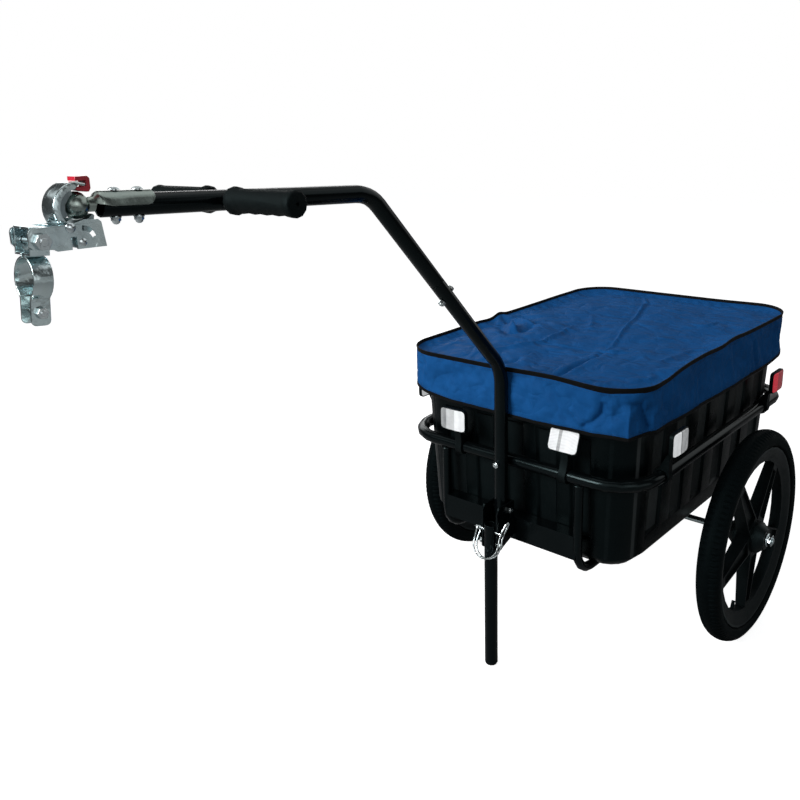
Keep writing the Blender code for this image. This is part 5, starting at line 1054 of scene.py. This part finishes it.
MIDDLE, COUPLING_SIDE = (0.0, -0.05, 0.45), (0.0, -0.75, 0.85)
make_camera()
make_world()
make_floor()
area_light("key", (-0.9, -3.0, 2.15), MIDDLE, (1.5, 1.5), 138)
area_light("top", (-0.3, 0.2, 3.2), MIDDLE, (2.4, 2.4), 14)
area_light("side", (2.9, -1.2, 1.9), MIDDLE, (1.4, 1.8), 9)
area_light("rear", (0.9, 2.9, 2.0), MIDDLE, (1.8, 1.8), 4, mirrored=False)
area_light("coupling_card", (2.31, 0.16, 0.62), COUPLING_SIDE, (1.4, 1.1), 1.15)
area_light("back_card", (-2.4, 1.3, 1.35), (0.0, -0.3, 0.85), (2.2, 0.9), 13.0)

PAINT, TYRE = painted_black(), tyre_rubber()
MOULDED, GRIP = (black(*values)[0].material for values in (
    ("moulded_black", (0.0022, 0.0028, 0.003), 0.5, 0.1, (22, 3), (1500, 2), 0.00008,
     (0.42, 0.58), ((0.0008, 0.0014, 0.0016), (0.002, 0.0028, 0.0031))),
    ("grip_rubber", (0.004, 0.005, 0.005), 0.66, 0.08, (40, 4), (1800, 2), 0.00014,
     (0.56, 0.74), ((0.0014, 0.0022, 0.0024), (0.0036, 0.0046, 0.0048)))))
ZINC = zinc("zinc_plate", (0.7, 0.82, 0.83), (0.48, 0.58, 0.6), 0.12, 0.24)
PLATE_ZINC = zinc("ball_plate_zinc", (0.33, 0.39, 0.36), (0.27, 0.32, 0.3), 0.2, 0.28, 0.3)
DULL_ZINC = zinc("dull_zinc", (0.36, 0.43, 0.45), (0.18, 0.22, 0.23), 0.3, 0.46)
STEEL = zinc("bright_steel", (0.74, 0.8, 0.81), (0.42, 0.48, 0.5), 0.14, 0.28)
dress(PAINT, "ring_frame", "hoop_", "front_crossbar", "leg_bracket", "drawbar_lower",
      "drawbar_upper", "handle_stub_", "support_leg")
dress(wheel_plastic(), "wheel_")
dress(MOULDED, "leg_foot_cap", *["reflector_%s_bracket" % name for name in REFLECTORS])
dress(tub_plastic(), "tub")
dress(TYRE, "inner_tube_", "tyre_")
dress(GRIP, "grip_")
dress(ZINC, "axle", "coupler_arm", "coupler_cup", "clamp_half_")
dress(PLATE_ZINC, "hitch_ball_plate")
dress(DULL_ZINC, "axle_saddle_", "hub_bush_", "coupler_socket", "coupler_jaw")
dress(STEEL, "axle_nut_", "ball_plate_bolt_front", "ball_plate_bolt_rear", "bracket_bolt",
      "leg_pivot_bolt", "clamp_hinge_bolt", "clamp_pinch_bolt", "cup_rivet", "jaw_rivet",
      "drawbar_joint_bolt", "drawbar_ring_bolt", "lock_pin", "lock_pin_bail")
dress(red_plastic(), "safety_clip")
# Each lens's colours: painted shade, then painted light
RED_SHADED_AND_LIT = (0.07, 0.002, 0.005), (0.66, 0.012, 0.035)
WHITE_SHADED_AND_LIT = (0.06, 0.066, 0.07), (0.86, 0.88, 0.89)
# Each lens: its bands of painted light along one axis and the strength of its painted glow
for _, label in SIDES:
    dress(lens("red_lens_" + label, *RED_SHADED_AND_LIT, "Y", 0.95, (0.588, 0.5), back=0.6),
          "reflector_rear_" + label)
    dress(lens("white_lens_" + label, *WHITE_SHADED_AND_LIT, "Y", 0.98, (0.147, 0.1), (0.149, 0.55),
               back=0.6), "reflector_side_" + label)
dress(lens("white_lens_near", *WHITE_SHADED_AND_LIT, "X", 0.98, (0.106, 0.5), (0.112, 0.95)),
      "reflector_front_left")
dress(lens("white_lens_far", *WHITE_SHADED_AND_LIT, "X", 0.42, (-0.1165, 0.68), (-0.0975, 1.0)),
      "reflector_front_right")
BLUE = woven("blue_cloth", (0.005, 0.055, 0.18), (0.0096, 0.083, 0.26), 0.0, 1400.0,
             crumple=1.3)
BLACK_CLOTH = woven("black_binding", (0.0028, 0.003, 0.0032), (0.007, 0.0074, 0.0078), 0.03,
                    2200.0)
THREAD = woven("blue_thread", (0.005, 0.042, 0.125), (0.011, 0.07, 0.205), 0.08, 5200.0)
dress(BLUE, "cover")
make_cover(BLUE, BLACK_CLOTH, THREAD)
for side, label in SIDES:
    make_tyre(side, label, TYRE)
make_welds(PAINT)
make_housings(MOULDED)
for place in ("front", "rear"):
    make_cap_bolt("ball_plate_bolt_" + place, STEEL)

bpy.context.scene.view_settings.view_transform = "Standard"
bpy.context.view_layer.update()
